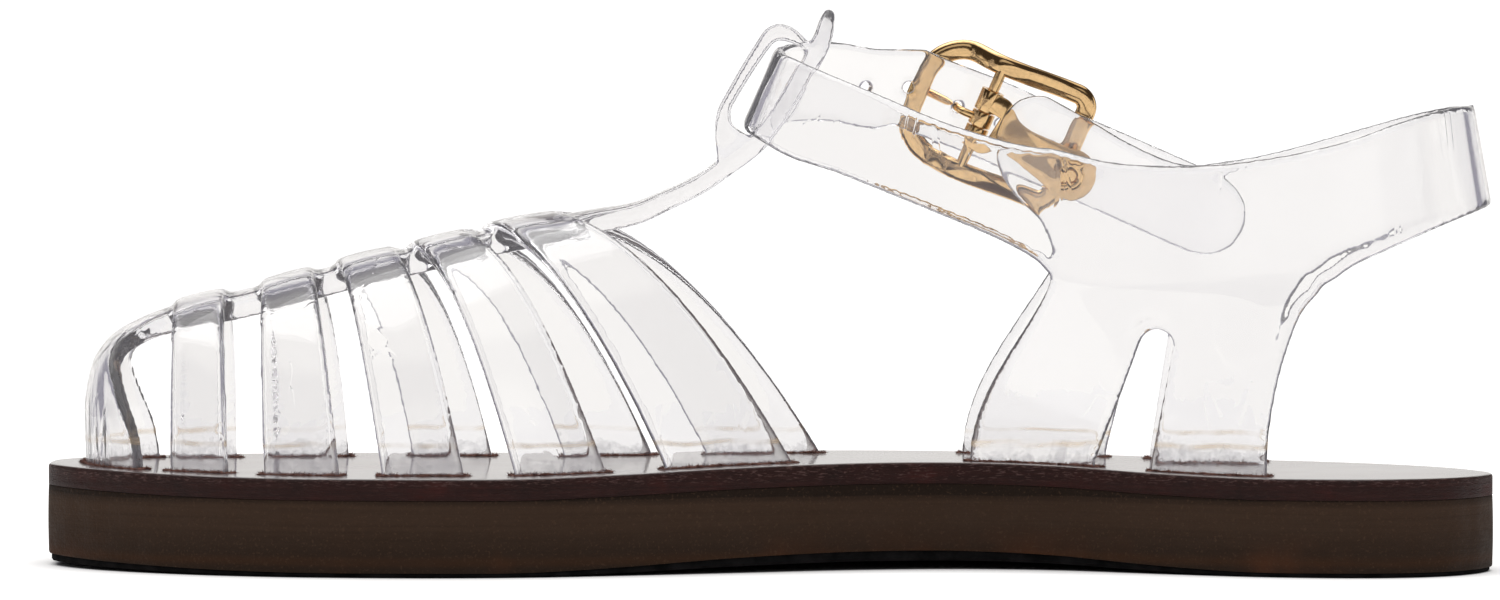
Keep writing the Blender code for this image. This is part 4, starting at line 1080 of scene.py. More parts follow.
def spine_rows():
    """Points of the toe wrap, spine and tongue, and the wall's share in each row."""
    sections = spine_sections()
    path = [Vector((s.along * SOLE_LENGTH, 0, FOOTBED_TOP + s.height * INSTEP_HEIGHT)) for s in sections]
    path[0].z = footbed_height(path[0].x, 0)
    across = (-1.0, -0.7, -0.36, 0.0, 0.36, 0.7, 1.0)
    rows, shares = [], []
    for i, section in enumerate(sections):
        tangent = (path[min(i + 1, len(path) - 1)] - path[max(i - 1, 0)]).normalized()
        inward = Vector((tangent.z, 0, -tangent.x))
        half = section.half * SPINE_WIDTH
        radius = section.bow * BALL_WIDTH
        middle = middle_line(path[i].x)
        row = []
        for share in across:
            y = half * share
            sag = radius - math.sqrt(radius ** 2 - y ** 2)
            row.append(path[i] + inward * sag + Vector((0, middle + y, 0)))
        rows.append(row)
        shares.append(section.thickness)
    foot = []
    for p in rows[0]:
        p.z = footbed_height(p.x, p.y)
        foot.append(p - Vector((0, 0, FOOTBED_THICKNESS)))
    return [foot] + rows, [shares[0]] + shares


def spine_body():
    rows, shares = spine_rows()
    steps = 3
    fine = denser(rows, steps, 2)
    fine_shares = through(np.array(shares)[:, None], list(range(len(shares))), steps)[:, 0]
    inside = Vector((-0.3 * SOLE_LENGTH, middle_line(-0.3 * SOLE_LENGTH), FOOTBED_TOP))
    return sheet("spine", fine, SPINE_THICKNESS, inside, fine_shares, SPINE_RIM)


def loop_frame(lift=0.0):
    """Frame of the keeper loop: X across the strap towards the tongue, Y up along its width."""
    centre = Vector((LOOP_ALONG * SOLE_LENGTH, middle_line(0.0), FOOTBED_TOP + LOOP_HEIGHT))
    across = Vector((math.cos(LOOP_TILT), 0, -math.sin(LOOP_TILT)))
    along = Vector((math.sin(LOOP_TILT), 0, math.cos(LOOP_TILT)))
    return frame_at(centre + across * lift, across, along, across.cross(along))


def keeper_loop():
    outlines = []
    for outline in (KEEPER_OUTLINE, KEEPER_SLOT):
        corners = [(x * STRAP_WIDTH, y * STRAP_WIDTH) for x, y in outline]
        outlines.append([tuple(p) for p in smooth_line(corners, 4, True)])
    return plate("keeper_loop", outlines, KEEPER_WIDTH, loop_frame(), KEEPER_RIM)


# Heel piece and ankle strap

def lateral_wall(x, z):
    """Outer face of the outer side wall, which leans in towards its top."""
    y = smooth_value(LATERAL_SECTIONS, "across", x / SOLE_LENGTH) * ANKLE_WIDTH
    return y - math.tan(LATERAL_LEAN) * (z - FOOTBED_TOP - WALL_LEVEL)


def wall_columns(sections, before, after, level=None):
    """Low, middle and high point of each wall section, leaning about its middle or a level."""
    points = [Vector((s.along * SOLE_LENGTH, s.across * ANKLE_WIDTH, 0)) for s in sections]
    path = [before.xy.to_3d()] + points + [after.xy.to_3d()]
    columns = []
    for i, section in enumerate(sections):
        tangent = (path[i + 2] - path[i]).normalized()
        inward = Vector((-tangent.y, tangent.x, 0))
        middle = FOOTBED_TOP + section.middle * ANKLE_HEIGHT
        half = section.spread * STRAP_WIDTH / 2
        pivot = middle if level is None else FOOTBED_TOP + level
        column = []
        for z in (middle - half, middle, middle + half):
            shift = math.tan(math.radians(section.lean)) * (z - pivot)
            column.append(points[i] + inward * shift + Vector((0, 0, z)))
        columns.append(column)
    return columns


def loop_columns():
    """The strap between tongue and keeper, flat across the tongue."""
    strap = loop_frame(-STRAP_SET_FORWARD - WALL_THICKNESS / 2)
    half = STRAP_WIDTH / 2
    columns = []
    for z in (-KEEPER_WIDTH * 0.45, 0.0, KEEPER_WIDTH * 0.45):
        columns.append([strap @ Vector((0, y, z)) for y in (-half, 0, half)])
    return columns


def buckle_axes():
    """Origin on the wall's outer face under the centre bar; X along the strap, Y down, Z outward."""
    x = BUCKLE_ALONG
    z = FOOTBED_TOP + BUCKLE_HEIGHT
    outward = Vector((0, math.cos(LATERAL_LEAN), math.sin(LATERAL_LEAN)))
    along = Vector((math.cos(BUCKLE_SLOPE), 0, -math.sin(BUCKLE_SLOPE)))
    along = (along - outward * along.dot(outward)).normalized()
    down = outward.cross(along)
    return frame_at(Vector((x, lateral_wall(x, z), z)), along, down, outward)


def strap_level(distance):
    """Height of the strap's outer face over the wall, along the strap from the centre bar."""
    reach = D_REACH if distance < 0 else KEEPER_REACH
    share = min(abs(distance) / (0.8 * reach), 1.0)
    wave = (1 - math.cos(math.pi * share)) / 2
    return STRAP_OVER_BAR + (STRAP_UNDER_FRAME - STRAP_OVER_BAR) * wave


def buckled_columns():
    """The strap from its free end back through the buckle, as columns across it."""
    axes = buckle_axes()
    half = STRAP_WIDTH / 2
    centre = STRAP_END - half
    tip = [centre + half * math.sin(math.radians(a)) for a in (84, 64, 44, 22)]
    free = [centre - 0.22 * (centre - KEEPER_REACH) * i for i in range(4)]
    inside_frame = [KEEPER_REACH * s for s in (1.25, 1.0, 0.8, 0.6, 0.4, 0.2, 0)]
    before_bar = [-D_REACH * s for s in (0.25, 0.5, 0.75, 1.0, 1.2)]
    columns = []
    for distance in tip + free + inside_frame + before_bar:
        past = max(distance - centre, 0)
        reach = math.sqrt(max(half ** 2 - past ** 2, 0))
        middle = axes @ Vector((distance, 0, 0))
        level = strap_level(distance)
        wall = (lateral_wall(middle.x, middle.z) - middle.y) / math.cos(LATERAL_LEAN)
        free_share = min(max((distance - 1.1 * KEEPER_REACH) / (0.6 * KEEPER_REACH), 0), 1)
        if distance > 0:
            level = level + wall
        level += (wall + FREE_END_LIFT - level) * free_share
        columns.append([axes @ Vector((distance, y, level)) for y in (reach, 0, -reach)])
    return columns


def panel_rows(columns, panel, side):
    """Points from inside the wall down each side strut and into the sole."""
    rows = [[columns[item.section][0].lerp(columns[item.section][1], share) for item in panel] for share in (0.5, 0.0)]
    for step in PANEL_STEPS:
        row = []
        for item in panel:
            top = columns[item.section][0]
            x_foot = item.foot * SOLE_LENGTH
            y_foot = foot_line(x_foot, side, STRUT_INSET)
            x = top.x + (x_foot - top.x) * math.sin(step * math.pi / 2) ** item.bend
            y = top.y + (y_foot - top.y) * step ** 1.35
            row.append(Vector((x, y, top.z + (footbed_height(x_foot, y_foot) - top.z) * step)))
        rows.append(row)
    rows.append([p - Vector((0, 0, FOOTBED_THICKNESS)) for p in rows[-1]])
    return rows


def notch_cutter(notch):
    front, rear = notch.foot_front * SOLE_LENGTH, notch.foot_rear * SOLE_LENGTH
    top = Vector((notch.top_along * SOLE_LENGTH, FOOTBED_TOP + notch.top_height * ANKLE_HEIGHT))
    arc = [math.radians(10 + 160 * i / 16) for i in range(17)]
    radius = notch.top_radius
    outline = [(top.x + radius * math.cos(a), top.y + radius * math.sin(a)) for a in arc]
    sole_top = FOOTBED_TOP + WAIST_RISE
    outline += [(front, sole_top), (front, 0.0), (rear, 0.0), (rear, sole_top)]
    depth = BALL_WIDTH
    centre = Vector((0, notch.side * depth / 2 + middle_line(0.06 * SOLE_LENGTH), 0))
    return plate("notch", [outline], depth, frame_at(centre, Vector((1, 0, 0)), Vector((0, 0, 1)), Vector((0, -1, 0))))


def strap_hole_pins(columns):
    """Pins that cut the strap's holes, at equal steps along its middle."""
    bar = min(range(len(columns)), key=lambda i: abs(columns[i][1].x - BUCKLE_ALONG))
    lengths = [0.0]
    for here, after in zip(columns, columns[1:]):
        lengths.append(lengths[-1] + (after[1] - here[1]).length)
    holes = []
    for k in range(-HOLES_AFTER, HOLES_BEFORE + 1):
        at = lengths[bar] - HOLE_FIRST + k * HOLE_PITCH
        i = max(j for j in range(len(lengths) - 1) if lengths[j] <= at)
        share = (at - lengths[i]) / (lengths[i + 1] - lengths[i])
        centre = columns[i][1].lerp(columns[i + 1][1], share)
        along = (columns[i + 1][1] - columns[i][1]).normalized()
        up = (columns[i][2] - columns[i][0]).normalized()
        out = along.cross(up).normalized()
        holes.append(cylinder("hole", STRAP_HOLE, 3 * WALL_THICKNESS, frame_at(centre, along, out.cross(along), out)))
    return holes


def quarter_walls():
    """The strap and heel wall as one sheet with a side panel each side, and what is cut out of them."""
    buckled = buckled_columns()
    loop = loop_columns()
    far = wall_columns(FAR_STRAP_SECTIONS[::-1], buckled[-1][1], loop[0][1])
    heel = Vector((MEDIAL_SECTIONS[-1].along * SOLE_LENGTH, MEDIAL_SECTIONS[-1].across * ANKLE_WIDTH, 0))
    lateral = LATERAL_SECTIONS[::-1]
    last = Vector((lateral[0].along * SOLE_LENGTH, lateral[0].across * ANKLE_WIDTH, 0))
    tab = Vector((0, lateral[-1].across * ANKLE_WIDTH, 0))
    medial = wall_columns(MEDIAL_SECTIONS, loop[-1][1], last)
    outer = wall_columns(lateral, heel, tab, WALL_LEVEL)
    inside = Vector((0.28 * SOLE_LENGTH, middle_line(0.06 * SOLE_LENGTH), FOOTBED_TOP))
    wall = denser(buckled + far + loop + medial + outer, 5, 4)
    parts = [sheet("wall", wall, WALL_THICKNESS, inside, rim=WALL_RIM)]
    in_tab = rivet_frame() @ Matrix.Translation((0, 0, -HINGE_THICKNESS - WALL_THICKNESS / 2))
    tools = strap_hole_pins(buckled + far + loop)
    tools.append(cylinder("rivet_hole", RIVET_RADIUS + FIT_GAP, 2.5 * WALL_THICKNESS, in_tab))
    for panel, side, source in ((MEDIAL_PANEL, MEDIAL, medial), (LATERAL_PANEL, LATERAL, outer[::-1])):
        strut = denser(panel_rows(source, panel, side), 4, 5)
        parts.append(sheet("panel", strut, WALL_THICKNESS, inside, rim=WALL_RIM))
    tools += [notch_cutter(notch) for notch in NOTCHES]
    return parts, tools


# Buckle

def bow_level(distance):
    """Height of the buckle frame over the wall: low at the centre bar, high at both ends."""
    straight = D_REACH - 0.7 * D_CORNER if distance < 0 else KEEPER_REACH - KEEPER_CORNER
    return BAR_LEVEL + FRAME_BOW * (1 - math.cos(math.pi * min(abs(distance) / straight, 1.0))) / 2


def frame_path():
    """Centre line of the buckle frame in the buckle's own plane."""
    half = FRAME_HALF_WIDTH
    corners = [
        (-D_REACH, half, D_CORNER, 90), (-D_REACH, -half, D_CORNER, 180),
        (KEEPER_REACH, -half, KEEPER_CORNER, 270), (KEEPER_REACH, half, KEEPER_CORNER, 0),
    ]
    path = []
    for x, y, radius, start in corners:
        centre = (x - math.copysign(radius, x), y - math.copysign(radius, y))
        for k in range(13):
            a = math.radians(start + 7.5 * k)
            path.append((centre[0] + radius * math.cos(a), centre[1] + radius * math.sin(a)))
        rail = [D_REACH * s for s in (-0.3, -0.2, -0.1, 0.0)] + [KEEPER_REACH * s / 12 for s in range(1, 10)]
        if start == 180:
            path += [(s, -half) for s in rail]
        elif start == 0:
            path += [(s, half) for s in reversed(rail)]
    return path


def frame_profile():
    """Flat bar with a domed outer face and eased edges, across and up."""
    points = []
    for k in range(24):
        a = 2 * math.pi * k / 24
        c, s = math.cos(a), math.sin(a)
        across = math.copysign(abs(c) ** (2 / BAR_SQUARENESS), c)
        up = math.copysign(abs(s) ** (2 / BAR_SQUARENESS), s)
        points.append((BAR_HALF_WIDTH * across, BAR_HALF_DEPTH * up))
    return points


def roll_frame(y):
    """Frame of a roll round the centre bar: Z along the bar."""
    local = Matrix(((0, 1, 0, 0), (0, 0, 1, y), (1, 0, 0, BAR_LEVEL), (0, 0, 0, 1)))
    return buckle_axes() @ local


def roll(name, y, length):
    return plate(name, [circle(HINGE_ROLL), circle(CENTRE_BAR + FIT_GAP)], length, roll_frame(y), ROLL_RIM)


def hinge_frame():
    """Frame of the hinge plate: X from the centre bar to the rivet, Z outward."""
    lift = Matrix.Translation((0, 0, FIT_GAP + HINGE_THICKNESS / 2))
    return buckle_axes() @ lift @ Matrix.Rotation(HINGE_TURN, 4, "Z")


def rivet_frame():
    return hinge_frame() @ Matrix.Translation((HINGE_LENGTH, 0, 0))


def frame_ring():
    axes = buckle_axes()
    path = [axes @ Vector((x, y, bow_level(x))) for x, y in frame_path()]
    outward = axes.to_3x3() @ Vector((0, 0, 1))
    ring = sweep("buckle_frame", path, [outward] * len(path), frame_profile(), True)
    half = FRAME_HALF_WIDTH
    ends = [axes @ Vector((0, -half + 2 * half * i / 8, BAR_LEVEL)) for i in range(9)]
    bar = sweep("bar", ends, [outward] * len(ends), circle(CENTRE_BAR, 20), False)
    return smooth_shaded(joined("buckle_frame_gold", [ring, bar]), 35)


def prong():
    axes = buckle_axes()
    hole = HOLE_FIRST
    start = BAR_LEVEL - CENTRE_BAR * 0.4
    top = strap_level(hole) + FIT_GAP + PRONG_RADIUS
    rest = FRAME_LEVEL + FRAME_BAR + FIT_GAP + PRONG_RADIUS
    route = [(-(CENTRE_BAR + FIT_GAP + HINGE_THICKNESS / 2), start)]
    route += [(along * hole, start + rise * (top - start)) for along, rise in PRONG_RISE]
    route += [(-PRONG_LANDING * D_REACH, rest), (-D_REACH - FRAME_BAR, rest)]
    points = [axes @ Vector((x, 0, z)) for x, z in smooth_line(route, 6)]
    outward = axes.to_3x3() @ Vector((0, 0, 1))
    taper = [1.0] * (len(points) - 3) + [0.9, 0.7, 0.35]
    arm = sweep("arm", points, [outward] * len(points), circle(PRONG_RADIUS * 1.05, 14), False, taper)
    return smooth_shaded(joined("buckle_prong_gold", [arm, roll("prong_roll", 0.0, PRONG_ROLL)]), 40)


def hinge_plate():
    slot = PRONG_ROLL / 2 + FIT_GAP
    coarse = [(x * HINGE_LENGTH, y * HINGE_WAIST / 2) for x, y in HINGE_OUTLINE]
    side = [tuple(p) for p in smooth_line(coarse, 5)]
    arc = [math.radians(120 - 10 * k) for k in range(25)]
    round_end = [(HINGE_LENGTH + HINGE_END * math.cos(a), HINGE_END * math.sin(a)) for a in arc]
    back = [(x, -y) for x, y in side[::-1]]
    deep = HINGE_ROLL + 2 * FIT_GAP
    slot_in_plate = slot + deep * math.tan(HINGE_TURN)
    notch = [(0.0, -slot_in_plate), (deep, -slot_in_plate), (deep, slot_in_plate), (0.0, slot_in_plate)]
    hole = circle(RIVET_RADIUS + FIT_GAP, 32, (HINGE_LENGTH, 0))
    pieces = [plate("plate", [side + round_end + back + notch, hole], HINGE_THICKNESS, hinge_frame(), HINGE_RIM)]
    length = coarse[0][1] - slot
    for sign in (-1, 1):
        pieces.append(roll("knuckle", sign * (slot + length / 2), length))
    return smooth_shaded(joined("buckle_hinge_gold", pieces), 40)


def rivet():
    """Tubular rivet: a dished head outside, a rolled ring with a dark hollow inside."""
    outer = HINGE_THICKNESS / 2 + FIT_GAP
    inner = -(HINGE_THICKNESS / 2 + FIT_GAP + WALL_THICKNESS + FIT_GAP)
    tall, bore = RIVET_HEAD_HEIGHT, RIVET_BORE
    outline = [
        (0.0, outer + tall * 0.6), (RIVET_RADIUS, outer + tall * 0.8), (RIVET_HEAD * 0.8, outer + tall),
        (RIVET_HEAD * 0.97, outer + tall * 0.6), (RIVET_HEAD, outer + tall * 0.1), (RIVET_HEAD * 0.96, outer),
        (RIVET_RADIUS, outer), (RIVET_RADIUS, inner), (RIVET_HEAD * 0.96, inner), (RIVET_HEAD, inner - tall * 0.3),
        (RIVET_HEAD * 0.9, inner - tall * 0.85), (RIVET_HEAD * 0.76, inner - tall), (bore * 1.25, inner - tall * 0.8),
        (bore, inner - tall * 0.2), (bore, inner + RIVET_BORE_DEPTH), (0.0, inner + RIVET_BORE_DEPTH + 0.0001),
    ]
    count = 40
    shell = bmesh.new()
    place = rivet_frame()
    rings = []
    for radius, level in outline:
        if radius == 0.0:
            rings.append([shell.verts.new(place @ Vector((0, 0, level)))])
            continue
        rings.append([shell.verts.new(place @ Vector((x, y, level))) for x, y in circle(radius, count)])
    for near, far in zip(rings, rings[1:]):
        for i in range(count):
            after = (i + 1) % count
            if len(near) == 1:
                shell.faces.new((near[0], far[i], far[after]))
            elif len(far) == 1:
                shell.faces.new((near[i], near[after], far[0]))
            else:
                shell.faces.new((near[i], near[after], far[after], far[i]))
    bmesh.ops.recalc_face_normals(shell, faces=shell.faces)
    return smooth_shaded(object_of("rivet_gold", shell), 45)


# Geometry Nodes

def new_tree(name, inputs):
    tree = bpy.data.node_groups.new(name, "GeometryNodeTree")
    tree.interface.new_socket("Geometry", in_out="INPUT", socket_type="NodeSocketGeometry")
    for label, kind, value in inputs:
        socket = tree.interface.new_socket(label, in_out="INPUT", socket_type=kind)
        if value is not None:
            socket.default_value = value
    tree.interface.new_socket("Geometry", in_out="OUTPUT", socket_type="NodeSocketGeometry")
    source = tree.nodes.new("NodeGroupInput")
    sink = tree.nodes.new("NodeGroupOutput")
    return tree, source, sink


def add_node(tree, kind, inputs=None, **settings):
    """Node with its settings; each input takes another node's output or a plain value."""
    made = tree.nodes.new(kind)
    for key, value in settings.items():
        setattr(made, key, value)
    for key, value in (inputs or {}).items():
        if isinstance(value, bpy.types.NodeSocket):
            tree.links.new(value, made.inputs[key])
        else:
            made.inputs[key].default_value = value
    return made


def lip_tree():
    """Rough bead along a curve, with short fibres standing on it."""
    tree, source, sink = new_tree("slit_lip", [
        ("Bead Radius", "NodeSocketFloat", 0.0005),
        ("Roughness", "NodeSocketFloat", 0.00035),
        ("Fibre Density", "NodeSocketFloat", 1.2e6),
        ("Fibre Length", "NodeSocketFloat", 0.0007),
        ("Seed", "NodeSocketInt", 7),
        ("Material", "NodeSocketMaterial", None),
    ])
    given = source.outputs
    path = add_node(tree, "GeometryNodeResampleCurve", {"Curve": given["Geometry"], "Length": LIP_STEP}, mode="LENGTH")
    ring = add_node(tree, "GeometryNodeCurvePrimitiveCircle", {
        "Resolution": 9, "Radius": given["Bead Radius"]}, mode="RADIUS")
    tube = add_node(tree, "GeometryNodeCurveToMesh", {
        "Curve": path.outputs["Curve"], "Profile Curve": ring.outputs["Curve"]})
    noise = add_node(tree, "ShaderNodeTexNoise", {"Scale": 900.0, "Detail": 3.0, "Roughness": 0.65})
    centred = add_node(tree, "ShaderNodeVectorMath", {
        0: noise.outputs["Color"], 1: (0.5, 0.5, 0.5)}, operation="SUBTRACT")
    reach = add_node(tree, "ShaderNodeMath", {0: given["Roughness"], 1: 4.0}, operation="MULTIPLY")
    offset = add_node(tree, "ShaderNodeVectorMath", {
        0: centred.outputs[0], "Scale": reach.outputs[0]}, operation="SCALE")
    bead = add_node(tree, "GeometryNodeSetPosition", {"Geometry": tube.outputs["Mesh"], "Offset": offset.outputs[0]})
    points = add_node(tree, "GeometryNodeDistributePointsOnFaces", {
        "Mesh": bead.outputs["Geometry"], "Density": given["Fibre Density"], "Seed": given["Seed"]})
    fibre = add_node(tree, "GeometryNodeMeshCone", {
        "Vertices": 3, "Radius Top": 0.000012, "Radius Bottom": 0.00004, "Depth": given["Fibre Length"]})
    standing = add_node(tree, "GeometryNodeInstanceOnPoints", {
        "Points": points.outputs["Points"], "Instance": fibre.outputs["Mesh"], "Rotation": points.outputs["Rotation"]})
    lean = add_node(tree, "FunctionNodeRandomValue", {
        0: (-0.9, -0.9, -3.1), 1: (0.9, 0.9, 3.1), "Seed": given["Seed"]}, data_type="FLOAT_VECTOR")
    leaning = add_node(tree, "GeometryNodeRotateInstances", {
        "Instances": standing.outputs["Instances"], "Rotation": lean.outputs[0]})
    both = add_node(tree, "GeometryNodeJoinGeometry", {"Geometry": bead.outputs["Geometry"]})
    tree.links.new(leaning.outputs["Instances"], both.inputs["Geometry"])
    real = add_node(tree, "GeometryNodeRealizeInstances", {"Geometry": both.outputs["Geometry"]})
    coated = add_node(tree, "GeometryNodeSetMaterial", {
        "Geometry": real.outputs["Geometry"], "Material": given["Material"]})
    tree.links.new(coated.outputs["Geometry"], sink.inputs["Geometry"])
    return tree


def set_inputs(modifier, tree, values):
    sockets = {item.name: item.identifier for item in tree.interface.items_tree if item.in_out == "INPUT"}
    for name, value in values.items():
        modifier[sockets[name]] = value


# Settings

class SandalLook(bpy.types.PropertyGroup):
    """Sizes and colours of the sandal's finish."""

    plastic_grain: bpy.props.FloatProperty(
        name="Plastic Grain", description="Size of the cells that the moulded plastic is melted from",
        default=0.0005, min=0.0003, max=0.002, unit="LENGTH")
    plastic_softness: bpy.props.IntProperty(
        name="Plastic Softness", description="Rounds of smoothing on the moulded plastic", default=18, min=0, max=40)
    plastic_depth: bpy.props.FloatProperty(
        name="Plastic Depth", description="How fast thick plastic darkens", default=8.0, min=0.0)
    plastic_depth_colour: bpy.props.FloatVectorProperty(
        name="Plastic Depth Colour", description="Tint of thick plastic", subtype="COLOR",
        default=(0.46, 0.44, 0.53), min=0.0, max=1.0)
    plastic_haze: bpy.props.FloatProperty(
        name="Plastic Haze", description="Share of light that each face of the plastic scatters",
        default=0.04, min=0.0, max=1.0, subtype="FACTOR")
    stain_colour: bpy.props.FloatVectorProperty(
        name="Glue Line Colour", description="Amber line over each foot", subtype="COLOR",
        default=(0.95, 0.74, 0.47), min=0.0, max=1.0)
    gold_colour: bpy.props.FloatVectorProperty(
        name="Gold Colour", description="Buckle metal", subtype="COLOR",
        default=(0.88, 0.59, 0.29), min=0.0, max=1.0)
    leather_colour: bpy.props.FloatVectorProperty(
        name="Leather Colour", description="Top of the footbed", subtype="COLOR",
        default=(0.036, 0.018, 0.015), min=0.0, max=1.0)
    edge_colour: bpy.props.FloatVectorProperty(
        name="Leather Edge Colour", description="Burnished edge of the footbed", subtype="COLOR",
        default=(0.031, 0.0080, 0.0060), min=0.0, max=1.0)
    midsole_colour: bpy.props.FloatVectorProperty(
        name="Midsole Colour", description="Side of the midsole", subtype="COLOR",
        default=(0.048, 0.0270, 0.0160), min=0.0, max=1.0)
    lip_colour: bpy.props.FloatVectorProperty(
        name="Slit Colour", description="Raw leather round the slits", subtype="COLOR",
        default=(0.17, 0.075, 0.055), min=0.0, max=1.0)
    lip_radius: bpy.props.FloatProperty(
        name="Slit Lip", description="Half height of the raised leather round each slit",
        default=0.00032, min=0.0001, max=0.002, unit="LENGTH")
    edge_round: bpy.props.FloatProperty(
        name="Footbed Edge", description="Rounding of the footbed's edge", default=0.0006, min=0.0, max=0.0015,
        unit="LENGTH")


def quick_grain(grain):
    return grain


# Operators

class SANDAL_OT_outsole_and_shade(bpy.types.Operator):
    """Thin black outsole sheet under the midsole, drawn thicker at the waist and toe as painted shade under the arch
    """
    bl_idname = "sandal.outsole"
    bl_label = "Outsole"

    def execute(self, context):
        tall, inset = SHOWN_OUTSOLE, OUTSOLE_INSET
        levels = [(0.0, inset + 0.0002), (0.0002, inset), (tall - 0.0001, inset), (tall, inset + 0.0001)]
        # The sheet's top rises more than its bottom where the sole lifts, so the black sheet is thicker there: painted
        # shade under the arch and toe
        body = sole_body("outsole_and_shade_sheet", levels, 7, (0.85, WAIST_SHADE_WEDGE))
        body.data.materials.append(cached("black_rubber", black_rubber))
        smooth_shaded(body, 50)
        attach(body, "root")
        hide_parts("outsole")
        return {"FINISHED"}


class SANDAL_OT_midsole(bpy.types.Operator):
    """Thick brown midsole with faint pressed layers"""
    bl_idname = "sandal.midsole"
    bl_label = "Midsole"

    def execute(self, context):
        low, high = SHOWN_OUTSOLE + FIT_GAP * 0.1, FOOTBED_BOTTOM - FIT_GAP * 0.1
        levels = [(low, 0.0002), (low + 0.0001, 0.00008), (low + 0.0004, 0.0)]
        for k in range(1, 12):
            share = k / 12
            bulge = -0.00010 * math.sin(math.pi * share)
            levels.append((low + 0.0005 + (high - low - 0.0008) * share, bulge))
        levels += [(high - 0.0002, 0.00002), (high - 0.00005, 0.00006), (high, 0.00012)]
        # The midsole's bottom sits on the outsole sheet's thickened top, the painted shade under the arch
        body = sole_body("midsole_block", levels, 7, (WAIST_SHADE_WEDGE, 1.0))
        body.data.materials.append(cached("brown_midsole", midsole_rubber))
        smooth_shaded(body, 50)
        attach(body, "root")
        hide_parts("midsole")
        return {"FINISHED"}


class SANDAL_OT_footbed(bpy.types.Operator):
    """Leather footbed with a burnished edge and a slit for every strap foot"""
    bl_idname = "sandal.footbed"
    bl_label = "Footbed"

    def execute(self, context):
        low, high = FOOTBED_BOTTOM, FOOTBED_BOTTOM + FOOTBED_THICKNESS
        r = context.scene.sandal_look.edge_round
        levels = [(low, 0.00008), (low + 0.0001, 0.0)]
        levels += [(low + 0.0001 + (high - r - low - 0.0001) * k / 5, 0.0) for k in range(1, 6)]
        turns = [math.radians(a) for a in (18, 36, 54, 72, 90)]
        levels += [(high - r + r * math.sin(a), r * (1 - math.cos(a))) for a in turns]
        body = sole_body("footbed_leather", levels, 10)
        body = cut_away(body, slit_cutters())
        body.data.materials.append(cached("footbed_top", footbed_leather))
        body.data.materials.append(cached("footbed_edge", burnished_edge))
        for face in body.data.polygons:
            if abs(face.normal.z) < 0.75:
                face.material_index = 1
        smooth_shaded(body, 50)
        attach(body, "root")
        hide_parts("footbed")
        return {"FINISHED"}


class SANDAL_OT_slit_lips(bpy.types.Operator):
    """Raised, torn leather lip with short fibres round every slit"""
    bl_idname = "sandal.slit_lips"
    bl_label = "Slit Lips"

    def execute(self, context):
        look = context.scene.sandal_look
        curve = bpy.data.curves.new("slit_lips", "CURVE")
        curve.dimensions = "3D"
        for points, inside, thickness in strap_feet():
            reach = FIT_GAP + look.lip_radius * 0.6
            outer = slit_line(points, inside, reach)
            outer = [Vector(p) for p in smooth_line([tuple(p) for p in outer], 4)]
            across = thickness + 2 * reach
            inner = [p - away_from(inside, outer, i) * across for i, p in enumerate(outer)]
            outline = outer + inner[::-1]
            spline = curve.splines.new("POLY")
            spline.points.add(len(outline) - 1)
            for point, p in zip(spline.points, outline):
                height = footbed_height(p.x, p.y) - look.lip_radius * 0.15
                point.co = (p.x, p.y, height, 1)
            spline.use_cyclic_u = True
        lips = link(bpy.data.objects.new("slit_lips", curve))
        tree = lip_tree()
        modifier = lips.modifiers.new("lip", "NODES")
        modifier.node_group = tree
        set_inputs(modifier, tree, {
            "Bead Radius": look.lip_radius, "Roughness": look.lip_radius * 0.9, "Fibre Density": 6.0e6,
            "Fibre Length": 0.0005, "Seed": 11, "Material": cached("raw_leather", raw_leather),
        })
        lips = baked(lips)
        smooth_shaded(lips, 60)
        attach(lips, "root")
        return {"FINISHED"}


class SANDAL_OT_vamp(bpy.types.Operator):
    """Clear cage: toe wrap, spine, cross straps, tongue and keeper loop in one moulding"""
    bl_idname = "sandal.vamp"
    bl_label = "Vamp Cage"

    def execute(self, context):
        look = context.scene.sandal_look
        walls = [spine_body()] + [cross_strap(strap) for strap in CROSS_STRAPS] + [keeper_loop()]
        body = moulded("vamp_clear", walls, quick_grain(look.plastic_grain), look.plastic_softness)
        body.data.materials.append(cached("jelly_plastic", jelly_plastic))
        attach(body, "root")
        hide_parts("vamp")
        return {"FINISHED"}


class SANDAL_OT_quarter(bpy.types.Operator):
    """Clear heel piece: struts, heel strap, ankle strap and tab in one moulding"""
    bl_idname = "sandal.quarter"
    bl_label = "Heel Piece"

    def execute(self, context):
        look = context.scene.sandal_look
        walls, tools = quarter_walls()
        body = moulded("quarter_clear", walls, quick_grain(look.plastic_grain), look.plastic_softness, tools)
        body.data.materials.append(cached("jelly_plastic", jelly_plastic))
        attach(body, "root")
        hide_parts("quarter")
        return {"FINISHED"}


class SANDAL_OT_buckle(bpy.types.Operator):
    """Polished gold buckle frame, prong, hinge plate and rivet"""
    bl_idname = "sandal.buckle"
    bl_label = "Buckle"

    def execute(self, context):
        makes = {"buckle_frame": frame_ring, "buckle_prong": prong, "buckle_hinge": hinge_plate, "rivet": rivet}
        for node, make in makes.items():
            piece = make()
            piece.data.materials.append(cached("polished_gold", polished_gold))
            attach(piece, "root")
            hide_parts(node)
        return {"FINISHED"}


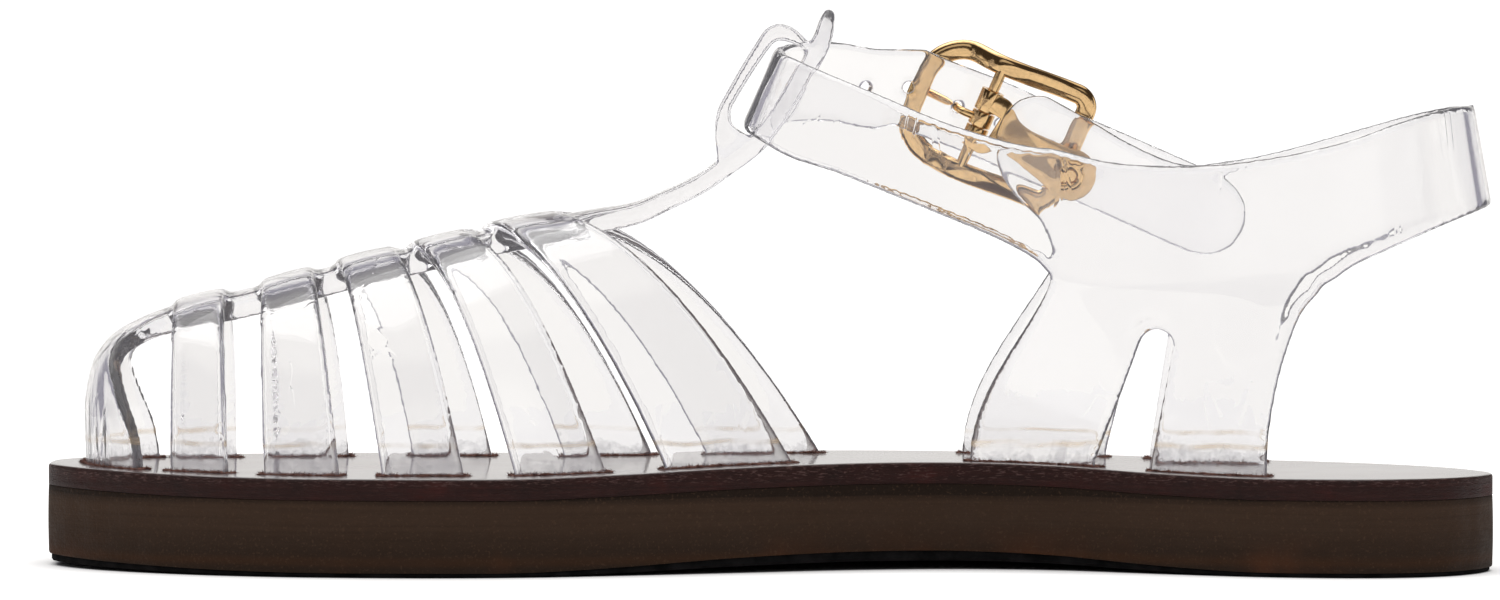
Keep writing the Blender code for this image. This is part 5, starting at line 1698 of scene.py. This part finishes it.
class SANDAL_OT_stage(bpy.types.Operator):
    """Pale glowing floor with a painted contact shadow, soft studio light and the camera"""
    bl_idname = "sandal.stage"
    bl_label = "Stage"

    def execute(self, context):
        scene = context.scene
        scene.view_settings.view_transform = "Standard"
        ground = bmesh.new()
        bmesh.ops.create_circle(ground, cap_ends=True, segments=96, radius=FLOOR_RADIUS)
        floor = object_of("floor", ground)
        floor.location.z = -0.0001
        paint = Paint("floor_paint")
        paint.put("Base Color", (0.50, 0.49, 0.475, 1.0))
        paint.put("Roughness", 1.0)
        paint.put("Specular IOR Level", 0.0)
        paint.put("Emission Color", (1.0, 1.0, 1.0, 1.0))
        # The floor glows, and its glow fades where ambient occlusion finds the sandal close by: a painted contact
        # shadow round the sole
        seen = paint.node("ShaderNodeLightPath").outputs["Is Camera Ray"]
        nearby = paint.node("ShaderNodeAmbientOcclusion", samples=8)
        nearby.inputs["Distance"].default_value = 0.03
        open_sky = paint.span(nearby.outputs["AO"], 0.15, 0.85, 0.0, 1.0)
        glow = paint.math("MULTIPLY", paint.span(seen, 0.0, 1.0, 0.50, 0.85), open_sky)
        paint.feed("Emission Strength", glow)
        floor.data.materials.append(paint.material)
        self.light_room(scene)
        camera = bpy.data.cameras.new("camera")
        camera.lens = CAMERA_LENS
        camera.sensor_width = 36.0
        camera.clip_start = 0.05
        camera.clip_end = 60.0
        holder = link(bpy.data.objects.new("camera", camera))
        self.turned_to(holder, CAMERA_PLACE, CAMERA_AIM)
        scene.camera = holder
        return {"FINISHED"}

    def turned_to(self, obj, place, aim):
        obj.location = place
        obj.rotation_euler = (Vector(aim) - obj.location).to_track_quat("-Z", "Y").to_euler()

    def light_room(self, scene):
        """White backdrop, ceiling and side panels in a darker room, so clear edges draw dark lines."""
        scene.world = bpy.data.worlds.new("studio")
        room = ShaderTree(scene.world, "Generated")

        def edge(value, low, high, level=1.0):
            return room.span(value, low, high, 0.0, level, soft=True)

        x, y, z = (room.axis(name) for name in "XYZ")
        sides = edge(room.math("ABSOLUTE", x), 0.93, 0.97)
        front = room.math("MULTIPLY", edge(y, -0.86, -0.94, 0.6), edge(z, 0.05, 0.15))
        behind = room.math("MAXIMUM", edge(y, 0.80, 0.90), edge(z, 0.66, 0.78))
        lit = room.math("MAXIMUM", behind, room.math("MAXIMUM", sides, front))
        path = room.node("ShaderNodeLightPath").outputs
        on_metal = room.math("SUBTRACT", path["Is Glossy Ray"], path["Is Singular Ray"])
        dark = room.mix(on_metal, ROOM_DARK, ROOM_DARK_ON_METAL)
        shown = room.mix(path["Is Camera Ray"], room.mix(lit, dark, ROOM_LIT), ROOM_SHOWN)
        room.join(shown, room.nodes["Background"].inputs["Color"])
        room.nodes["Background"].inputs["Strength"].default_value = 1.0
        key = bpy.data.lights.new("top_panel", "AREA")
        key.shape = "RECTANGLE"
        key.size, key.size_y = 1.6, 1.2
        key.energy = 9.0
        lamp = link(bpy.data.objects.new("top_panel", key))
        self.turned_to(lamp, (-0.2, 0.3, 1.5), (0, 0, 0))


PIECES = (
    SANDAL_OT_stage, SANDAL_OT_outsole_and_shade, SANDAL_OT_midsole, SANDAL_OT_footbed, SANDAL_OT_slit_lips,
    SANDAL_OT_vamp, SANDAL_OT_quarter, SANDAL_OT_buckle,
)


class SANDAL_PT_panel(bpy.types.Panel):
    """Sandal tools in the sidebar"""
    bl_label = "Fisherman Sandal"
    bl_idname = "SANDAL_PT_panel"
    bl_space_type = "VIEW_3D"
    bl_region_type = "UI"
    bl_category = "Sandal"

    def draw(self, context):
        for name in SandalLook.__annotations__:
            self.layout.prop(context.scene.sandal_look, name)
        for piece in PIECES:
            self.layout.operator(piece.bl_idname)


def register():
    for item in (SandalLook, *PIECES, SANDAL_PT_panel):
        bpy.utils.register_class(item)
    bpy.types.Scene.sandal_look = bpy.props.PointerProperty(type=SandalLook)


def unregister():
    del bpy.types.Scene.sandal_look
    for item in reversed((SandalLook, *PIECES, SANDAL_PT_panel)):
        bpy.utils.unregister_class(item)


def main():
    register()
    bpy.ops.sandal.stage()
    bpy.ops.sandal.outsole()
    bpy.ops.sandal.midsole()
    bpy.ops.sandal.footbed()
    bpy.ops.sandal.slit_lips()
    bpy.ops.sandal.vamp()
    bpy.ops.sandal.quarter()
    bpy.ops.sandal.buckle()


if __name__ == "__main__":
    main()
